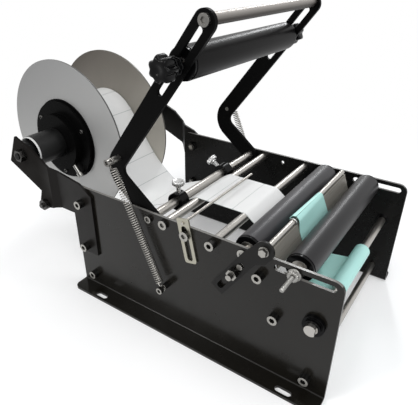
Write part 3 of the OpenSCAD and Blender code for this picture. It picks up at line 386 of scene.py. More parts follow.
# Finishes of single pieces
label_gap = paper("label_gap", (0.50, 0.53, 0.52), shade=(0.45, 0.48, 0.47), rough=0.45)
bright_zinc = plated_metal("bright_zinc", (0.56, 0.56, 0.555), stain=(0.43, 0.435, 0.435), rough=0.26)
thread_zinc = plated_metal("thread_zinc", (0.34, 0.335, 0.32), stain=(0.24, 0.235, 0.22), rough=0.32)
dark_zinc = plated_metal("dark_zinc", (0.075, 0.073, 0.07), stain=(0.04, 0.039, 0.038), rough=0.26)
spring_steel = plated_metal("spring_steel", (0.36, 0.35, 0.33), stain=(0.27, 0.26, 0.24), rough=0.30)
slider_black = powder_coat("slider_black", (0.0055, 0.0052, 0.0048), worn=(0.05, 0.047, 0.043),
                           rough=0.34, gloss=0.18)
flange_black = moulded_plastic("flange_black", (0.0022, 0.0022, 0.0022), rough=0.30, gloss=0.022)
node_finishes = {
    # The far disc: a warmer, paler copy of the disc finish, a painted reflection, with deeper painted shade
    # to its upper left and a stronger painted sheen
    "right_reel_disc": brushed_disc("disc_alloy_far", (0.66, 0.625, 0.555), shade_colour=(0.046, 0.037, 0.028),
                                    sheen_fan=0.35),
    # The handle: a darker copy of the bar finish, a painted reflection of darker surroundings, with painted
    # shade underneath
    "handle_rod": polished_bar("handle_steel", (0.34, 0.32, 0.30), rough=0.46, along="y",
                               warm=(0.27, 0.245, 0.22), underside_shade=(0.045, 0.039, 0.034)),
    # Darker faces, and paler sides that paint a highlight on the spring pins
    "lever_fasteners": cap_screw("handle_cap", (0.18, 0.175, 0.165), side=(0.36, 0.35, 0.33), rough=0.30),
    # The press roller: a darker copy of the roller rubber, painted shade
    "press_sleeve": ground_rubber("press_rubber", (0.0045, 0.0042, 0.0043), rough=0.34, gloss=0.07),
    # The rear roller: a paler copy of the roller rubber, painted sheen
    "rear_sleeve": ground_rubber("rear_rubber", (0.026, 0.025, 0.028), rough=0.40, gloss=0.36),
    "hub_tube": moulded_plastic("hub_black", (0.0040, 0.0040, 0.0040), rough=0.34, gloss=0.34),
    # The far plate: a darker copy of the plate paint, painted shade for the machine's inside
    "right_side_plate": powder_coat("far_plate_black", (0.0045, 0.0045, 0.0042), worn=(0.04, 0.038, 0.035),
                                    rough=0.26, gloss=0.15, top_highlight=CUT_EDGE_HIGHLIGHT),
    "left_reel_bracket": powder_coat("tail_black", (0.0050, 0.0042, 0.0036), worn=(0.03, 0.028, 0.026),
                                     rough=0.34, gloss=0.15, dulled=TAIL_START),
    "right_reel_bracket": slider_black,
    "left_peel_slider": slider_black,
    "left_hub_flange": flange_black,
    "right_hub_flange": flange_black,
    "flange_lock_screw": thread_zinc,
    "bracket_hardware": dark_zinc,
}


def dress_frame():
    """Gives every carried-over solid its own finish, or else that of its material slot."""
    for part in frame["record"]["subparts"]:
        materials = nodes[part["node"]].data.materials
        materials.clear()
        materials.append(node_finishes.get(part["node"], finishes[part["material_slot"]]))


# Mesh helpers


def piece(name, verts, faces, materials, slot, sharp=40):
    """A smooth-shaded mesh object with edges over the given angle kept sharp."""
    mesh = bpy.data.meshes.new(name)
    mesh.from_pydata([tuple(v) for v in verts], [], faces)
    for material in materials:
        mesh.materials.append(material)
    mesh.polygons.foreach_set("use_smooth", [True] * len(mesh.polygons))
    mesh.set_sharp_from_angle(angle=math.radians(sharp))
    mesh.validate()
    mesh.update()
    obj = bpy.data.objects.new(name, mesh)
    bpy.context.scene.collection.objects.link(obj)
    return obj


def strip_faces(rows, sides):
    """Faces that join closed rows of points, and the two end faces."""
    faces = []
    for row in range(rows - 1):
        for k in range(sides):
            a, b = row * sides + k, row * sides + (k + 1) % sides
            faces.append((a, b, b + sides, a + sides))
    faces.append(tuple(range(sides - 1, -1, -1)))
    faces.append(tuple(range((rows - 1) * sides, rows * sides)))
    return faces


def tube(points, radius, sides):
    """Vertices and faces of a round wire along points, with closed ends."""
    verts = []
    last = len(points) - 1
    side = None
    for i, point in enumerate(points):
        along = (points[min(i + 1, last)] - points[max(i - 1, 0)]).normalized()
        if side is None:
            side = along.orthogonal().normalized()
        side = (side - along * side.dot(along)).normalized()
        up = along.cross(side)
        for k in range(sides):
            angle = TURN * k / sides
            verts.append(point + radius * (math.cos(angle) * side + math.sin(angle) * up))
    return verts, strip_faces(len(points), sides)


def lathe(profile, sides, radius_at=None):
    """Turns (radius, height) pairs about +Z; radius_at(radius, angle, row) may shape each row."""
    verts = []
    for row, (radius, height) in enumerate(profile):
        for k in range(sides):
            angle = TURN * k / sides
            r = radius_at(radius, angle, row) if radius_at else radius
            verts.append(Vector((r * math.cos(angle), r * math.sin(angle), height)))
    return verts, strip_faces(len(profile), sides)


def in_mm(pairs):
    """Pairs given in millimetres, in metres."""
    return [(a * MM, b * MM) for a, b in pairs]


def six_flats(rows):
    """A lathe shape with a hexagon in the given rows."""
    half = math.pi / 6

    def radius_at(radius, angle, row):
        return radius / math.cos((angle + half) % (2 * half) - half) if row in rows else radius
    return radius_at


def ridged(rows, depth, count):
    """A lathe shape with ridges round the given rows."""
    def radius_at(radius, angle, row):
        return radius - depth * (1 + math.cos(count * angle)) if row in rows else radius
    return radius_at


def placed(verts, matrix):
    """Vertices moved by a matrix."""
    return [matrix @ v for v in verts]


def turned(profile, sides, origin, direction, radius_at=None, capped=True):
    """A lathe mesh whose axis starts at origin and runs along direction."""
    verts, faces = lathe(profile, sides, radius_at)
    tilt = Vector(direction).to_track_quat("Z", "Y").to_matrix().to_4x4()
    return placed(verts, Matrix.Translation(origin) @ tilt), faces if capped else faces[:-2]


def joined(meshes):
    """One mesh of several."""
    verts, faces = [], []
    for part_verts, part_faces in meshes:
        first = len(verts)
        verts += part_verts
        faces += [tuple(first + i for i in face) for face in part_faces]
    return verts, faces


# Springs: open coils with a hook round each pin; the upper pin is placed as on the lever at rest

SPRING_PIN = Vector((-89.03 * MM, 0, 188.69 * MM))
SPRING_COILS = 53
SPRING_WIRE = 1.2 * MM
SPRING_MEAN_R = 3.8 * MM
SPRING_HOOK_R = 3.3 * MM
SPRING_LEAD = 8.0 * MM
COIL_POINTS = 14
HOOK_POINTS = 16
HOOK_FIRST, HOOK_LAST = math.radians(70), math.radians(325)
WIRE_SIDES = 7


def spring_hook():
    """Hook round the pin at the origin, in the plane of the spring's axis and side."""
    angles = [HOOK_FIRST + (HOOK_LAST - HOOK_FIRST) * i / HOOK_POINTS for i in range(HOOK_POINTS + 1)]
    return [(SPRING_HOOK_R * math.cos(a), SPRING_HOOK_R * math.sin(a), 0) for a in angles]


def spring_line(length):
    """Centre line of the whole spring: (along, side, across) triples from pin to pin."""
    wound = length - 2 * SPRING_LEAD
    hook = spring_hook()
    line = list(hook)
    for i in range(SPRING_COILS * COIL_POINTS + 1):
        angle = math.pi + TURN * i / COIL_POINTS
        line.append((SPRING_LEAD + wound * i / (SPRING_COILS * COIL_POINTS),
                     SPRING_MEAN_R * math.cos(angle), SPRING_MEAN_R * math.sin(angle)))
    line += [(length - x, y, z) for x, y, z in reversed(hook)]
    return line


def make_spring(name):
    """A coil spring between its pins on the plate and on the lever."""
    y = centre(name).y
    start = Vector((centre("spring_anchors").x, y, centre("spring_anchors").z))
    end = Vector((SPRING_PIN.x, y, SPRING_PIN.z))
    along = (end - start).normalized()
    across = Vector((0, 1, 0))
    side = across.cross(along)
    points = [start + a * along + s * side + c * across for a, s, c in spring_line((end - start).length)]
    obj = piece(name + "_coil", *tube(points, SPRING_WIRE / 2, WIRE_SIDES), [spring_steel], "bright_steel")
    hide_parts(name)
    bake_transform(obj)


# Paper: the label web, its labels and the liner follow the bars as the solids do.
# A stop is (x, z, radius); it lies on the right of travel if the radius is negative.

WRAP_STEP = math.radians(3)
NORMAL_STEP = 0.4 * MM


def heading(a, b):
    """Direction of the straight run between two stops."""
    dx, dz = b[0] - a[0], b[1] - a[1]
    return math.atan2(dz, dx) + math.asin((a[2] - b[2]) / math.hypot(dx, dz))


def beside(stop, direction):
    """The point at which a path with this direction touches a stop."""
    return Vector((stop[0] + stop[2] * math.sin(direction), stop[1] - stop[2] * math.cos(direction)))


def wrap(stop, first, last):
    """Points round one stop between two headings."""
    turn = (last - first + math.pi) % TURN - math.pi
    if turn * stop[2] <= 0:
        return [beside(stop, first + turn / 2)]
    steps = max(1, math.ceil(abs(turn) / WRAP_STEP))
    return [beside(stop, first + turn * i / steps) for i in range(steps + 1)]


def run_path(stops, first, last):
    """The path past every stop, and the index of the last point at each stop."""
    points, ends = [], []
    for i, stop in enumerate(stops):
        start = first if i == 0 else heading(stops[i - 1], stop)
        end = last if i == len(stops) - 1 else heading(stop, stops[i + 1])
        points += wrap(stop, start, end)
        ends.append(len(points) - 1)
    return points, ends


class Band:
    """A path in the side view, measured along its length."""

    def __init__(self, points):
        self.points = points
        self.at = [0.0]
        for a, b in zip(points, points[1:]):
            self.at.append(self.at[-1] + (b - a).length)
        self.length = self.at[-1]

    def place(self, s):
        s = min(max(s, 0.0), self.length)
        i = 0
        while i < len(self.at) - 2 and self.at[i + 1] < s:
            i += 1
        a, b = self.points[i], self.points[i + 1]
        return a + (b - a) * ((s - self.at[i]) / (self.at[i + 1] - self.at[i]))

    def left(self, s):
        """Unit normal on the left of travel."""
        way = (self.place(s + NORMAL_STEP) - self.place(s - NORMAL_STEP)).normalized()
        return Vector((-way.y, way.x))

    def nearest(self, point):
        """The length at which the path comes closest to a point."""
        return self.at[min(range(len(self.points)), key=lambda i: (self.points[i] - point).length)]


# The web's thickness, its clearance on fixed bars and on turning or sliding pieces
WEB_T = 0.4 * MM
WEB_CLEAR = 0.05 * MM
WEB_LOOSE = 0.3 * MM
# The sag behind the bars: a wide curve that tightens into a loop
LOOP_BACK, LOOP_R, LOOP_LOW = -112 * MM, 28 * MM, 101 * MM
SAG_R, SAG_TURN = 150 * MM, math.radians(35)
SAG_WAY = 1.001 * (SAG_R - LOOP_R)
# The peel sheet's thickness and slope, which set the edge that the liner runs over
SHEET_T, SHEET_SLOPE = 1.5 * MM, math.radians(70)
# Headings at the ends of the paths, some of them relative to the run beside them
ROLL_LEAVE = math.radians(4)
PEEL_TOP = math.radians(-15)
PEEL_LEAVE = math.radians(-2)
WIND_ON = math.radians(6)


def stop_at(node, side, room):
    """A stop at a round node: its centre, and the distance at which the web passes it."""
    middle = centre(node)
    return (middle.x, middle.z, side * (span(node).x / 2 + WEB_T / 2 + room))


peel_stop = stop_at("peel_rod", -1, WEB_LOOSE)
loop_stop = (LOOP_BACK, LOOP_LOW + LOOP_R, LOOP_R)
sag_stop = (LOOP_BACK + SAG_WAY * math.sin(SAG_TURN), LOOP_LOW + LOOP_R + SAG_WAY * math.cos(SAG_TURN), SAG_R)
edge_stop = (high("peel_plate").x, low("peel_plate").z + SHEET_T * math.cos(SHEET_SLOPE),
             -(WEB_T / 2 + WEB_LOOSE))
label_stops = [stop_at("label_roll", -1, WEB_LOOSE), sag_stop, loop_stop,
               stop_at("pivot_shaft", 1, WEB_CLEAR), stop_at("feed_bar", -1, WEB_CLEAR),
               stop_at("exit_bar", -1, WEB_CLEAR), stop_at("rear_sleeve", 1, WEB_LOOSE),
               stop_at("turn_bar", 1, WEB_CLEAR), peel_stop]
liner_stops = [peel_stop, edge_stop, stop_at("liner_bar", 1, WEB_CLEAR), stop_at("liner_roll", 1, WEB_LOOSE)]
PIVOT_STOP = 3

BAND_STEP = 2.5 * MM
ACROSS = 6
CORNER_SHARES = (0, 0.08, 0.3, 0.6)


def stations(s0, s1, corner=0.0):
    """Places along a band, closer together where the ends have round corners."""
    inner = max(1, math.ceil((s1 - s0 - 2 * corner) / BAND_STEP))
    places = [s0 + corner + (s1 - s0 - 2 * corner) * i / inner for i in range(inner + 1)]
    if corner:
        easing = [corner * share for share in CORNER_SHARES]
        places = [s0 + e for e in easing] + places + [s1 - e for e in reversed(easing)]
    return places


def inset_at(distance, corner):
    """How far a rounded corner draws the edge in, at a distance from the end."""
    if distance >= corner:
        return 0.0
    return corner - math.sqrt(max(0.0, corner ** 2 - (corner - distance) ** 2))


# The loose paper lifts off the peel rod, and its right edge creeps in towards the rod
LOOSE_LIFT, LOOSE_REACH = 2.6 * MM, 16 * MM
DRAW_NEAR, DRAW_FAR, DRAW_REACH = 12 * MM, 4 * MM, 60 * MM
DRAW_START = 25 * MM


def slack(distance, share):
    """Lift of the loose paper off the peel rod: most at the left edge, none at the right."""
    near = max(0.0, 1 - distance / LOOSE_REACH)
    return LOOSE_LIFT * (1 - share) * near * near * (3 - 2 * near)


def drawn_in(distance):
    """How far the loose paper's right edge has crept in, by the distance from the peel rod."""
    return DRAW_FAR + (DRAW_NEAR - DRAW_FAR) * max(0.0, 1 - distance / DRAW_REACH)


def band_mesh(band, s0, s1, y0, y1, below, above, corner=0.0, loose_at=None, drawn_at=None):
    """A thin slab along a band; below and above are heights on the left of travel.

    The paper is loose about loose_at, and its right edge starts to creep in at drawn_at.
    """
    places = stations(s0, s1, corner)
    verts, faces = [], []
    rows = []
    for s in places:
        inset = inset_at(min(s - s0, s1 - s), corner)
        point, normal = band.place(s), band.left(s)
        right = y1
        if loose_at is not None:
            right -= drawn_in(abs(s - loose_at))
        elif drawn_at is not None:
            right -= DRAW_FAR * min(1.0, max(0.0, (s - drawn_at) / DRAW_START))
        for height in (below, above):
            rows.append(len(verts))
            for k in range(ACROSS + 1):
                lift = 0.0 if loose_at is None else slack(abs(s - loose_at), k / ACROSS)
                spot = point + normal * (height + lift)
                y = y0 + inset + (right - y0 - 2 * inset) * k / ACROSS
                verts.append(Vector((spot.x, y, spot.y)))
    for i in range(len(places) - 1):
        b0, t0, b1, t1 = rows[2 * i:2 * i + 4]
        for k in range(ACROSS):
            faces.append((t0 + k, t0 + k + 1, t1 + k + 1, t1 + k))
            faces.append((b0 + k, b1 + k, b1 + k + 1, b0 + k + 1))
        faces.append((b0, t0, t1, b1))
        faces.append((b0 + ACROSS, b1 + ACROSS, t1 + ACROSS, t0 + ACROSS))
    for b, t, way in ((rows[0], rows[1], 1), (rows[-2], rows[-1], -1)):
        for k in range(ACROSS):
            quad = (b + k, b + k + 1, t + k + 1, t + k)
            faces.append(quad[::way])
    return verts, faces


LABEL_PITCH = 32.4 * MM
LABEL_GAP = 0.8 * MM
LABEL_CORNER = 2 * MM
LABEL_MARGIN = 0.7 * MM
LABEL_LEAST = 1 * MM
# A gap between two labels, in the side view, and the bare length before the peel rod
LABEL_LINE = Vector((-161 * MM, 136 * MM))
LABEL_OFF = 26 * MM
# The backing ends just below the middle of the web, and the labels reach into it
BACKING_TOP, LABEL_FOOT = -0.02 * MM, -0.04 * MM


def make_label_web():
    """The web from the roll to the turn bar, and on to the peel rod: backing and separate labels."""
    points, ends = run_path(label_stops, heading(label_stops[0], sag_stop) + ROLL_LEAVE, PEEL_TOP)
    band = Band(points)
    split, drawn_at = band.at[ends[-2]], band.at[ends[PIVOT_STOP]]
    y0, y1 = low("label_web").y, high("label_web").y
    phase = band.nearest(LABEL_LINE) % LABEL_PITCH
    starts = [phase + LABEL_PITCH * (k - 1) for k in range(int(band.length / LABEL_PITCH) + 3)]
    runs = (("bed", 0.0, split, label_gap), ("peel", split, band.length, finishes["liner_paper"]))
    for name, s0, s1, stock in runs:
        loose_at = band.length if name == "peel" else None
        backing = piece("label_backing_" + name,
                        *band_mesh(band, s0, s1, y0, y1, -WEB_T / 2, BACKING_TOP, loose_at=loose_at,
                                   drawn_at=drawn_at),
                        [stock], "liner_paper")
        labels = []
        for start in starts:
            a = max(s0, start + LABEL_GAP / 2)
            b = min(s1, band.length - LABEL_OFF, start + LABEL_PITCH - LABEL_GAP / 2)
            if b - a > LABEL_LEAST:
                corner = LABEL_CORNER if b - a > 3 * LABEL_CORNER else 0.0
                labels.append(band_mesh(band, a, b, y0 + LABEL_MARGIN, y1 - LABEL_MARGIN, LABEL_FOOT,
                                        WEB_T / 2, corner, loose_at, drawn_at))
        sheet = piece("labels_" + name, *joined(labels), [finishes["label_paper"]], "label_paper")
        for obj in (backing, sheet):
            if name == "bed":
                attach(obj, "frame")
            else:
                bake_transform(obj)
            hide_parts("label_web")


def make_liner():
    """The bare liner: the fall from the peel rod to the liner bar, and the tail to the take-up."""
    last = heading(liner_stops[2], liner_stops[3]) + WIND_ON
    points, ends = run_path(liner_stops, PEEL_TOP + PEEL_LEAVE, last)
    band = Band(points)
    split = band.at[ends[2]]
    y0, y1 = low("liner_web").y, high("liner_web").y
    fall = piece("liner_fall", *band_mesh(band, 0.0, split, y0, y1, -WEB_T / 2, WEB_T / 2, loose_at=0.0),
                 [finishes["liner_paper"]], "liner_paper")
    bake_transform(fall)
    tail = piece("liner_tail", *band_mesh(band, split, band.length, y0, y1 - DRAW_FAR, -WEB_T / 2, WEB_T / 2),
                 [finishes["liner_paper"]], "liner_paper")
    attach(tail, "frame")
    for obj in (fall, tail):
        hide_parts("liner_web")


# Wound rolls: the sides step in and out as the turns do, and labels lie on the outer turn

LAYER, LAYER_STEP = 1.1 * MM, 0.12 * MM
ROLL_LABELS = 10
ROLL_FIRST = math.radians(37)
ROLL_STEPS = 24
ROLL_UNDER, ROLL_LABEL_FOOT, ROLL_LABEL_T = 0.25 * MM, 0.2 * MM, 0.18 * MM
CORE_CLEAR = 0.1 * MM
ROLL_SIDES, WINDING_SIDES, ROLL_SHARP = 96, 48, 60
SHAFT_GRIP = 1.2 * MM


def wound_mesh(node, inner, outer, sides):
    """A wound roll in the place of a node, open on its inside."""
    middle, y0, y1 = centre(node), low(node).y, high(node).y
    rows = max(3, int((outer - inner) / LAYER))
    radii = [inner + (outer - inner) * i / rows for i in range(rows + 1)]
    near = [(r, y0 + (LAYER_STEP if i % 2 else 0.0)) for i, r in enumerate(radii)]
    far = [(r, y1 - (LAYER_STEP if i % 2 else 0.0)) for i, r in enumerate(radii)]
    verts, faces = lathe(near + far[::-1], sides)
    to_axis = Matrix.Translation((middle.x, 0, middle.z)) @ Matrix.Rotation(-math.pi / 2, 4, "X")
    return placed(verts, to_axis), faces[:-2]


def make_label_roll():
    middle = centre("label_roll")
    y0, y1 = low("label_roll").y, high("label_roll").y
    outer = span("label_roll").x / 2
    core = span("hub_tube").x / 2 + CORE_CLEAR
    body = piece("label_roll_wound", *wound_mesh("label_roll", core, outer - ROLL_UNDER, ROLL_SIDES),
                 [label_gap], "liner_paper", ROLL_SHARP)
    patches = []
    pitch = TURN / ROLL_LABELS
    gap = LABEL_GAP / 2 / outer
    stop = (middle.x, middle.z, -(outer - ROLL_LABEL_FOOT))
    for k in range(ROLL_LABELS):
        a, b = ROLL_FIRST + pitch * k + gap, ROLL_FIRST + pitch * (k + 1) - gap
        band = Band([beside(stop, b + (a - b) * i / ROLL_STEPS - math.pi / 2) for i in range(ROLL_STEPS + 1)])
        patches.append(band_mesh(band, 0.0, band.length, y0 + LABEL_MARGIN, y1 - LABEL_MARGIN, 0.0,
                                 ROLL_LABEL_T, LABEL_CORNER))
    labels = piece("label_roll_labels", *joined(patches), [finishes["label_paper"]], "label_paper")
    for obj in (body, labels):
        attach(obj, "reel")
        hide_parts("label_roll")


def make_liner_winding():
    inner = span("take_up_shaft").z / 2 - SHAFT_GRIP
    mesh = wound_mesh("liner_roll", inner, span("liner_roll").x / 2, WINDING_SIDES)
    obj = piece("liner_winding", *mesh, [finishes["liner_paper"]], "liner_paper", ROLL_SHARP)
    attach(obj, "take_up")
    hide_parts("liner_roll")


# Turned and moulded pieces; their profiles are (radius, height) pairs in millimetres

KNOB_LOBES, KNOB_SIDES = 7, 112
KNOB_R, KNOB_LOBE, KNOB_GRIP = 12 * MM, 1.6 * MM, 14 * MM
KNOB_BORE, KNOB_NECK, KNOB_RING, KNOB_EASE = 3.2 * MM, 6.5 * MM, 8.5 * MM, 0.4 * MM
# The grip's foot and crown, from its outer edge, and the dish in its top, from the axis
KNOB_FOOT = in_mm([(-2.2, 0), (-0.8, 0.6), (0, 2)])
KNOB_CROWN = in_mm([(0, -4), (-0.6, -2.2), (-1.8, -0.8), (-3.4, -0.1), (-4.6, 0)])
KNOB_DISH = in_mm([(3.8, 0), (3.4, -0.4), (0.2, -0.5)])


def make_knob(name):
    """A lobed clamp knob with rounded edges on a neck with two thick washer rings."""
    middle, height, axis = centre(name), span(name).y, centre("press_axle")
    outward = -1 if middle.y < 0 else 1
    base = middle.y - outward * height / 2
    grip = height - KNOB_GRIP
    ring_h = grip / 4

    def radius_at(radius, angle, row):
        share = min(1.0, radius / KNOB_R)
        return radius - share ** 4 * KNOB_LOBE * (1 - math.cos(KNOB_LOBES * angle))

    profile = [(KNOB_BORE, 0)]
    for foot in (0, 2 * ring_h):
        top = foot + ring_h
        profile += [(KNOB_RING - KNOB_EASE, foot), (KNOB_RING, foot + KNOB_EASE),
                    (KNOB_RING, top - KNOB_EASE), (KNOB_RING - KNOB_EASE, top),
                    (KNOB_NECK, top), (KNOB_NECK, top + ring_h)]
    profile += [(KNOB_R + r, grip + h) for r, h in KNOB_FOOT]
    profile += [(KNOB_R + r, height + h) for r, h in KNOB_CROWN]
    profile += [(r, height + h) for r, h in KNOB_DISH]
    mesh = turned(profile, KNOB_SIDES, (axis.x, base, axis.z), (0, outward, 0), radius_at)
    obj = piece(name + "_lobed", *mesh, [finishes["black_plastic"]], "black_plastic", sharp=50)
    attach(obj, name)
    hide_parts(name)


# Stem, small boss and flat head with a dished top, from the middle of the collar
THUMB_PROFILE = in_mm([(0.3, 6), (2.5, 6.4), (2.5, 16.7), (3.8, 17), (4.2, 17.4), (4.2, 18.7), (4.7, 19),
                       (6.3, 19), (7, 19.7), (7, 23.2), (6.2, 24), (5.4, 24), (4.6, 23.5), (0.3, 23.3)])
THUMB_RIDGES, THUMB_RIDGE = 36, 0.22 * MM
THUMB_RIM = range(7, 11)


def make_thumb_screw(name, lean):
    """A knurled thumb screw in its collar, leaning back by an angle."""
    up = (-math.sin(lean), 0, math.cos(lean))
    root = centre(name.replace("thumb_screw", "collar"))
    mesh = turned(THUMB_PROFILE, 4 * THUMB_RIDGES, root, up, ridged(THUMB_RIM, THUMB_RIDGE, THUMB_RIDGES))
    obj = piece(name + "_knurled", *mesh, [bright_zinc], "zinc_screws", sharp=45)
    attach(obj, name.replace("thumb_screw", "thumb"))
    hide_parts(name)


# Button-head screws with hexagon sockets, and the depth at which they sit in the hub flange
FLANGE_SCREWS, FLANGE_SCREW_SIDES = 3, 24
FLANGE_SCREW_ANGLE = math.radians(26.5)
FLANGE_SCREW_CIRCLE = 43.5 * MM
FLANGE_DEPTH = 10 * MM
FLANGE_SCREW_PROFILE = in_mm([(2.6, -0.2), (3.1, 0), (3.1, 0.6), (2.6, 1.5), (1.9, 1.9), (1.25, 1.9),
                              (1.25, 0.9), (0.2, 0.7)])
FLANGE_SOCKET = range(5, 7)


def outer_face(node, outward):
    """The place of a node's left face for -1, or of its right face for 1."""
    return low(node).y if outward < 0 else high(node).y


def make_flange_screws(name, flange, body, outward):
    """The screws that hold a disc to its hub flange."""
    face = outer_face(flange, outward) - outward * FLANGE_DEPTH
    screws = []
    for k in range(FLANGE_SCREWS):
        angle = FLANGE_SCREW_ANGLE + TURN * k / FLANGE_SCREWS
        spot = (REEL.x + FLANGE_SCREW_CIRCLE * math.cos(angle), face,
                REEL.z + FLANGE_SCREW_CIRCLE * math.sin(angle))
        screws.append(turned(FLANGE_SCREW_PROFILE, FLANGE_SCREW_SIDES, spot, (0, outward, 0),
                             six_flats(FLANGE_SOCKET)))
    obj = piece(name, *joined(screws), [dark_zinc], "black_steel", sharp=35)
    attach(obj, body)


# Flat rings lie on a face and are sunk a little into it
SUNK = 0.1 * MM
RIM_OVER, RIM_W, RIM_T, RIM_EASE = 2.4 * MM, 8 * MM, 1.2 * MM, 0.4 * MM
WASHER_IN, WASHER_INSET, WASHER_T = 8 * MM, 1.2 * MM, 0.25 * MM
WASHER_EASE, WASHER_EDGE = 0.3 * MM, 0.15 * MM
SEAL_R, SEAL_T, SEAL_EASE = 8.2 * MM, 0.9 * MM, 0.5 * MM
RIM_SIDES, WASHER_SIDES, SEAL_SIDES = 96, 64, 48


def flat_ring(inner, outer, thick, ease, edge):
    """Profile of a flat ring whose outer edge is eased over a width and a height."""
    return [(inner, -SUNK), (inner, thick), (outer - ease, thick), (outer, thick - edge), (outer, -SUNK)]


def make_flange_rim(name, flange, disc, body, outward):
    """A thin rim under a hub flange, flat on the disc."""
    outer = span(flange).x / 2 + RIM_OVER
    profile = flat_ring(outer - RIM_W, outer, RIM_T, RIM_EASE, RIM_EASE)
    spot = (REEL.x, outer_face(disc, outward), REEL.z)
    rim = piece(name, *turned(profile, RIM_SIDES, spot, (0, outward, 0), capped=False),
                [flange_black], "black_plastic")
    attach(rim, body)


def make_hub_washers():
    """Black washers over the white rings at the hub's ends, so that only the rings' rims show."""
    outer = span("hub_rings").x / 2 - WASHER_INSET
    profile = flat_ring(WASHER_IN, outer, WASHER_T, WASHER_EASE, WASHER_EDGE)
    rings = [turned(profile, WASHER_SIDES, (REEL.x, outer_face("hub_rings", side), REEL.z), (0, side, 0),
                    capped=False) for side in (-1, 1)]
    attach(piece("hub_washers", *joined(rings), [finishes["black_plastic"]], "black_plastic"), "reel")


def make_bush_seals():
    """Black seal rings on the plates' inner faces, where the take-up shaft enters its bushes."""
    middle = centre("take_up_bearings")
    inner = span("take_up_shaft").z / 2 - SHAFT_GRIP
    profile = flat_ring(inner, SEAL_R, SEAL_T, SEAL_EASE, SEAL_EASE)
    rings = [turned(profile, SEAL_SIDES, (middle.x, side * PLATE_IN, middle.z), (0, -side, 0), capped=False)
             for side in (-1, 1)]
    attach(piece("take_up_seals", *joined(rings), [finishes["black_plastic"]], "black_plastic"), "frame")


THREAD_PITCH, THREAD_R, THREAD_DEPTH = 1.0 * MM, 2.2 * MM, 0.3 * MM
THREAD_END = 0.6 * MM
AXIS_R = 0.2 * MM
AXLE_CLEAR, AXLE_EASE, AXLE_STEP, AXLE_SIDES = 0.3 * MM, 0.4 * MM, 0.1 * MM, 32
NUT_PROFILE = in_mm([(2.2, 0), (6.3, 0), (6.5, 0.3), (6.3, 1.3), (5.7, 1.7), (5.7, 4.2), (5.2, 4.8),
                     (4.0, 5.0), (2.2, 4.8)])
NUT_RIBS, NUT_RIB, NUT_SIDES = 18, 0.35 * MM, 108
NUT_ROWS = range(4, 7)
NUT_OFF = 0.3 * MM


def thread(y0, y1):
    """Profile of a thread's ridges."""
    rows = 2 * round((y1 - y0) / THREAD_PITCH)
    return [(THREAD_R - (THREAD_DEPTH if i % 2 else 0), y0 + (y1 - y0) * i / rows) for i in range(rows + 1)]


def make_front_axle():
    """The front roller's axle: a plain bar with threaded ends, and two ribbed flange nuts."""
    axle, body = centre("front_axle"), span("front_axle").x / 2
    start, end = low("front_axle").y, high("front_axle").y
    inner = PLATE_IN - AXLE_CLEAR
    profile = [(AXIS_R, start), (THREAD_R - THREAD_END, start), *thread(start + THREAD_END, -inner),
               (body - AXLE_EASE, -inner), (body, AXLE_EASE - inner), (body, inner - AXLE_EASE),
               (body - AXLE_EASE, inner), *thread(inner + AXLE_STEP, end - THREAD_END),
               (THREAD_R - THREAD_END, end), (AXIS_R, end)]
    bar = piece("front_axle_threaded", *turned(profile, AXLE_SIDES, (axle.x, 0, axle.z), (0, 1, 0)),
                [thread_zinc], "bright_steel", sharp=25)
    nuts = [turned(NUT_PROFILE, NUT_SIDES, (axle.x, side * (PLATE_OUT + NUT_OFF), axle.z), (0, side, 0),
                   ridged(NUT_ROWS, NUT_RIB, NUT_RIBS), capped=False) for side in (-1, 1)]
    nut = piece("front_axle_flange_nuts", *joined(nuts), [thread_zinc], "zinc_screws", sharp=40)
    for obj, node in ((bar, "front_axle"), (nut, "front_axle_nuts")):
        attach(obj, "front_carriage")
        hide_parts(node)


BOLT_PROFILE = in_mm([(1.0, 0), (4.9, 0), (5.2, 0.3), (5.0, 1.0), (4.0, 1.0), (3.7, 1.05), (3.7, 4.0),
                      (3.4, 4.5), (2.7, 4.5), (0.2, 4.4)])
BOLT_HEAD, BOLT_SIDES = range(5, 9), 72
ROD_END_PROFILE = in_mm([(3.05, 0.6), (3.5, 0.1), (4.0, 0), (4.3, 0.5), (4.2, 1.2), (4.0, 2.8), (3.6, 3.1),
                         (3.05, 3.0)])
ROD_END_OUT, ROD_END_SIDES = 3.2 * MM, 40


def make_peel_bolt():
    """A washer and a hexagon bolt on the slider's ear, and a rolled end on the rod beside the paper."""
    middle, rod = centre("peel_fasteners"), centre("peel_rod")
    head = turned(BOLT_PROFILE, BOLT_SIDES, (middle.x, low("left_peel_slider").y, middle.z), (0, -1, 0),
                  six_flats(BOLT_HEAD))
    bolt = piece("peel_hex_bolt", *head, [finishes["zinc_screws"]], "zinc_screws", sharp=30)
    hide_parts("peel_fasteners")
    roll = turned(ROD_END_PROFILE, ROD_END_SIDES, (rod.x, low("label_web").y - ROD_END_OUT, rod.z), (0, 1, 0),
                  capped=False)
    collar = piece("peel_rod_end", *roll, [bright_zinc], "bright_steel", sharp=50)
    for obj in (bolt, collar):
        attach(obj, "peel_slider")


# Studio and camera

CAMERA_PLACE = Vector((0.2210, -0.4035, 0.3677))
CAMERA_TURN = math.radians(33.71)
CAMERA_DIP = math.radians(28.79)
CAMERA_ROLL = math.radians(0.59)
CAMERA_LENS, CAMERA_SENSOR, CAMERA_NEAR = 37.99, 36.0, 0.01


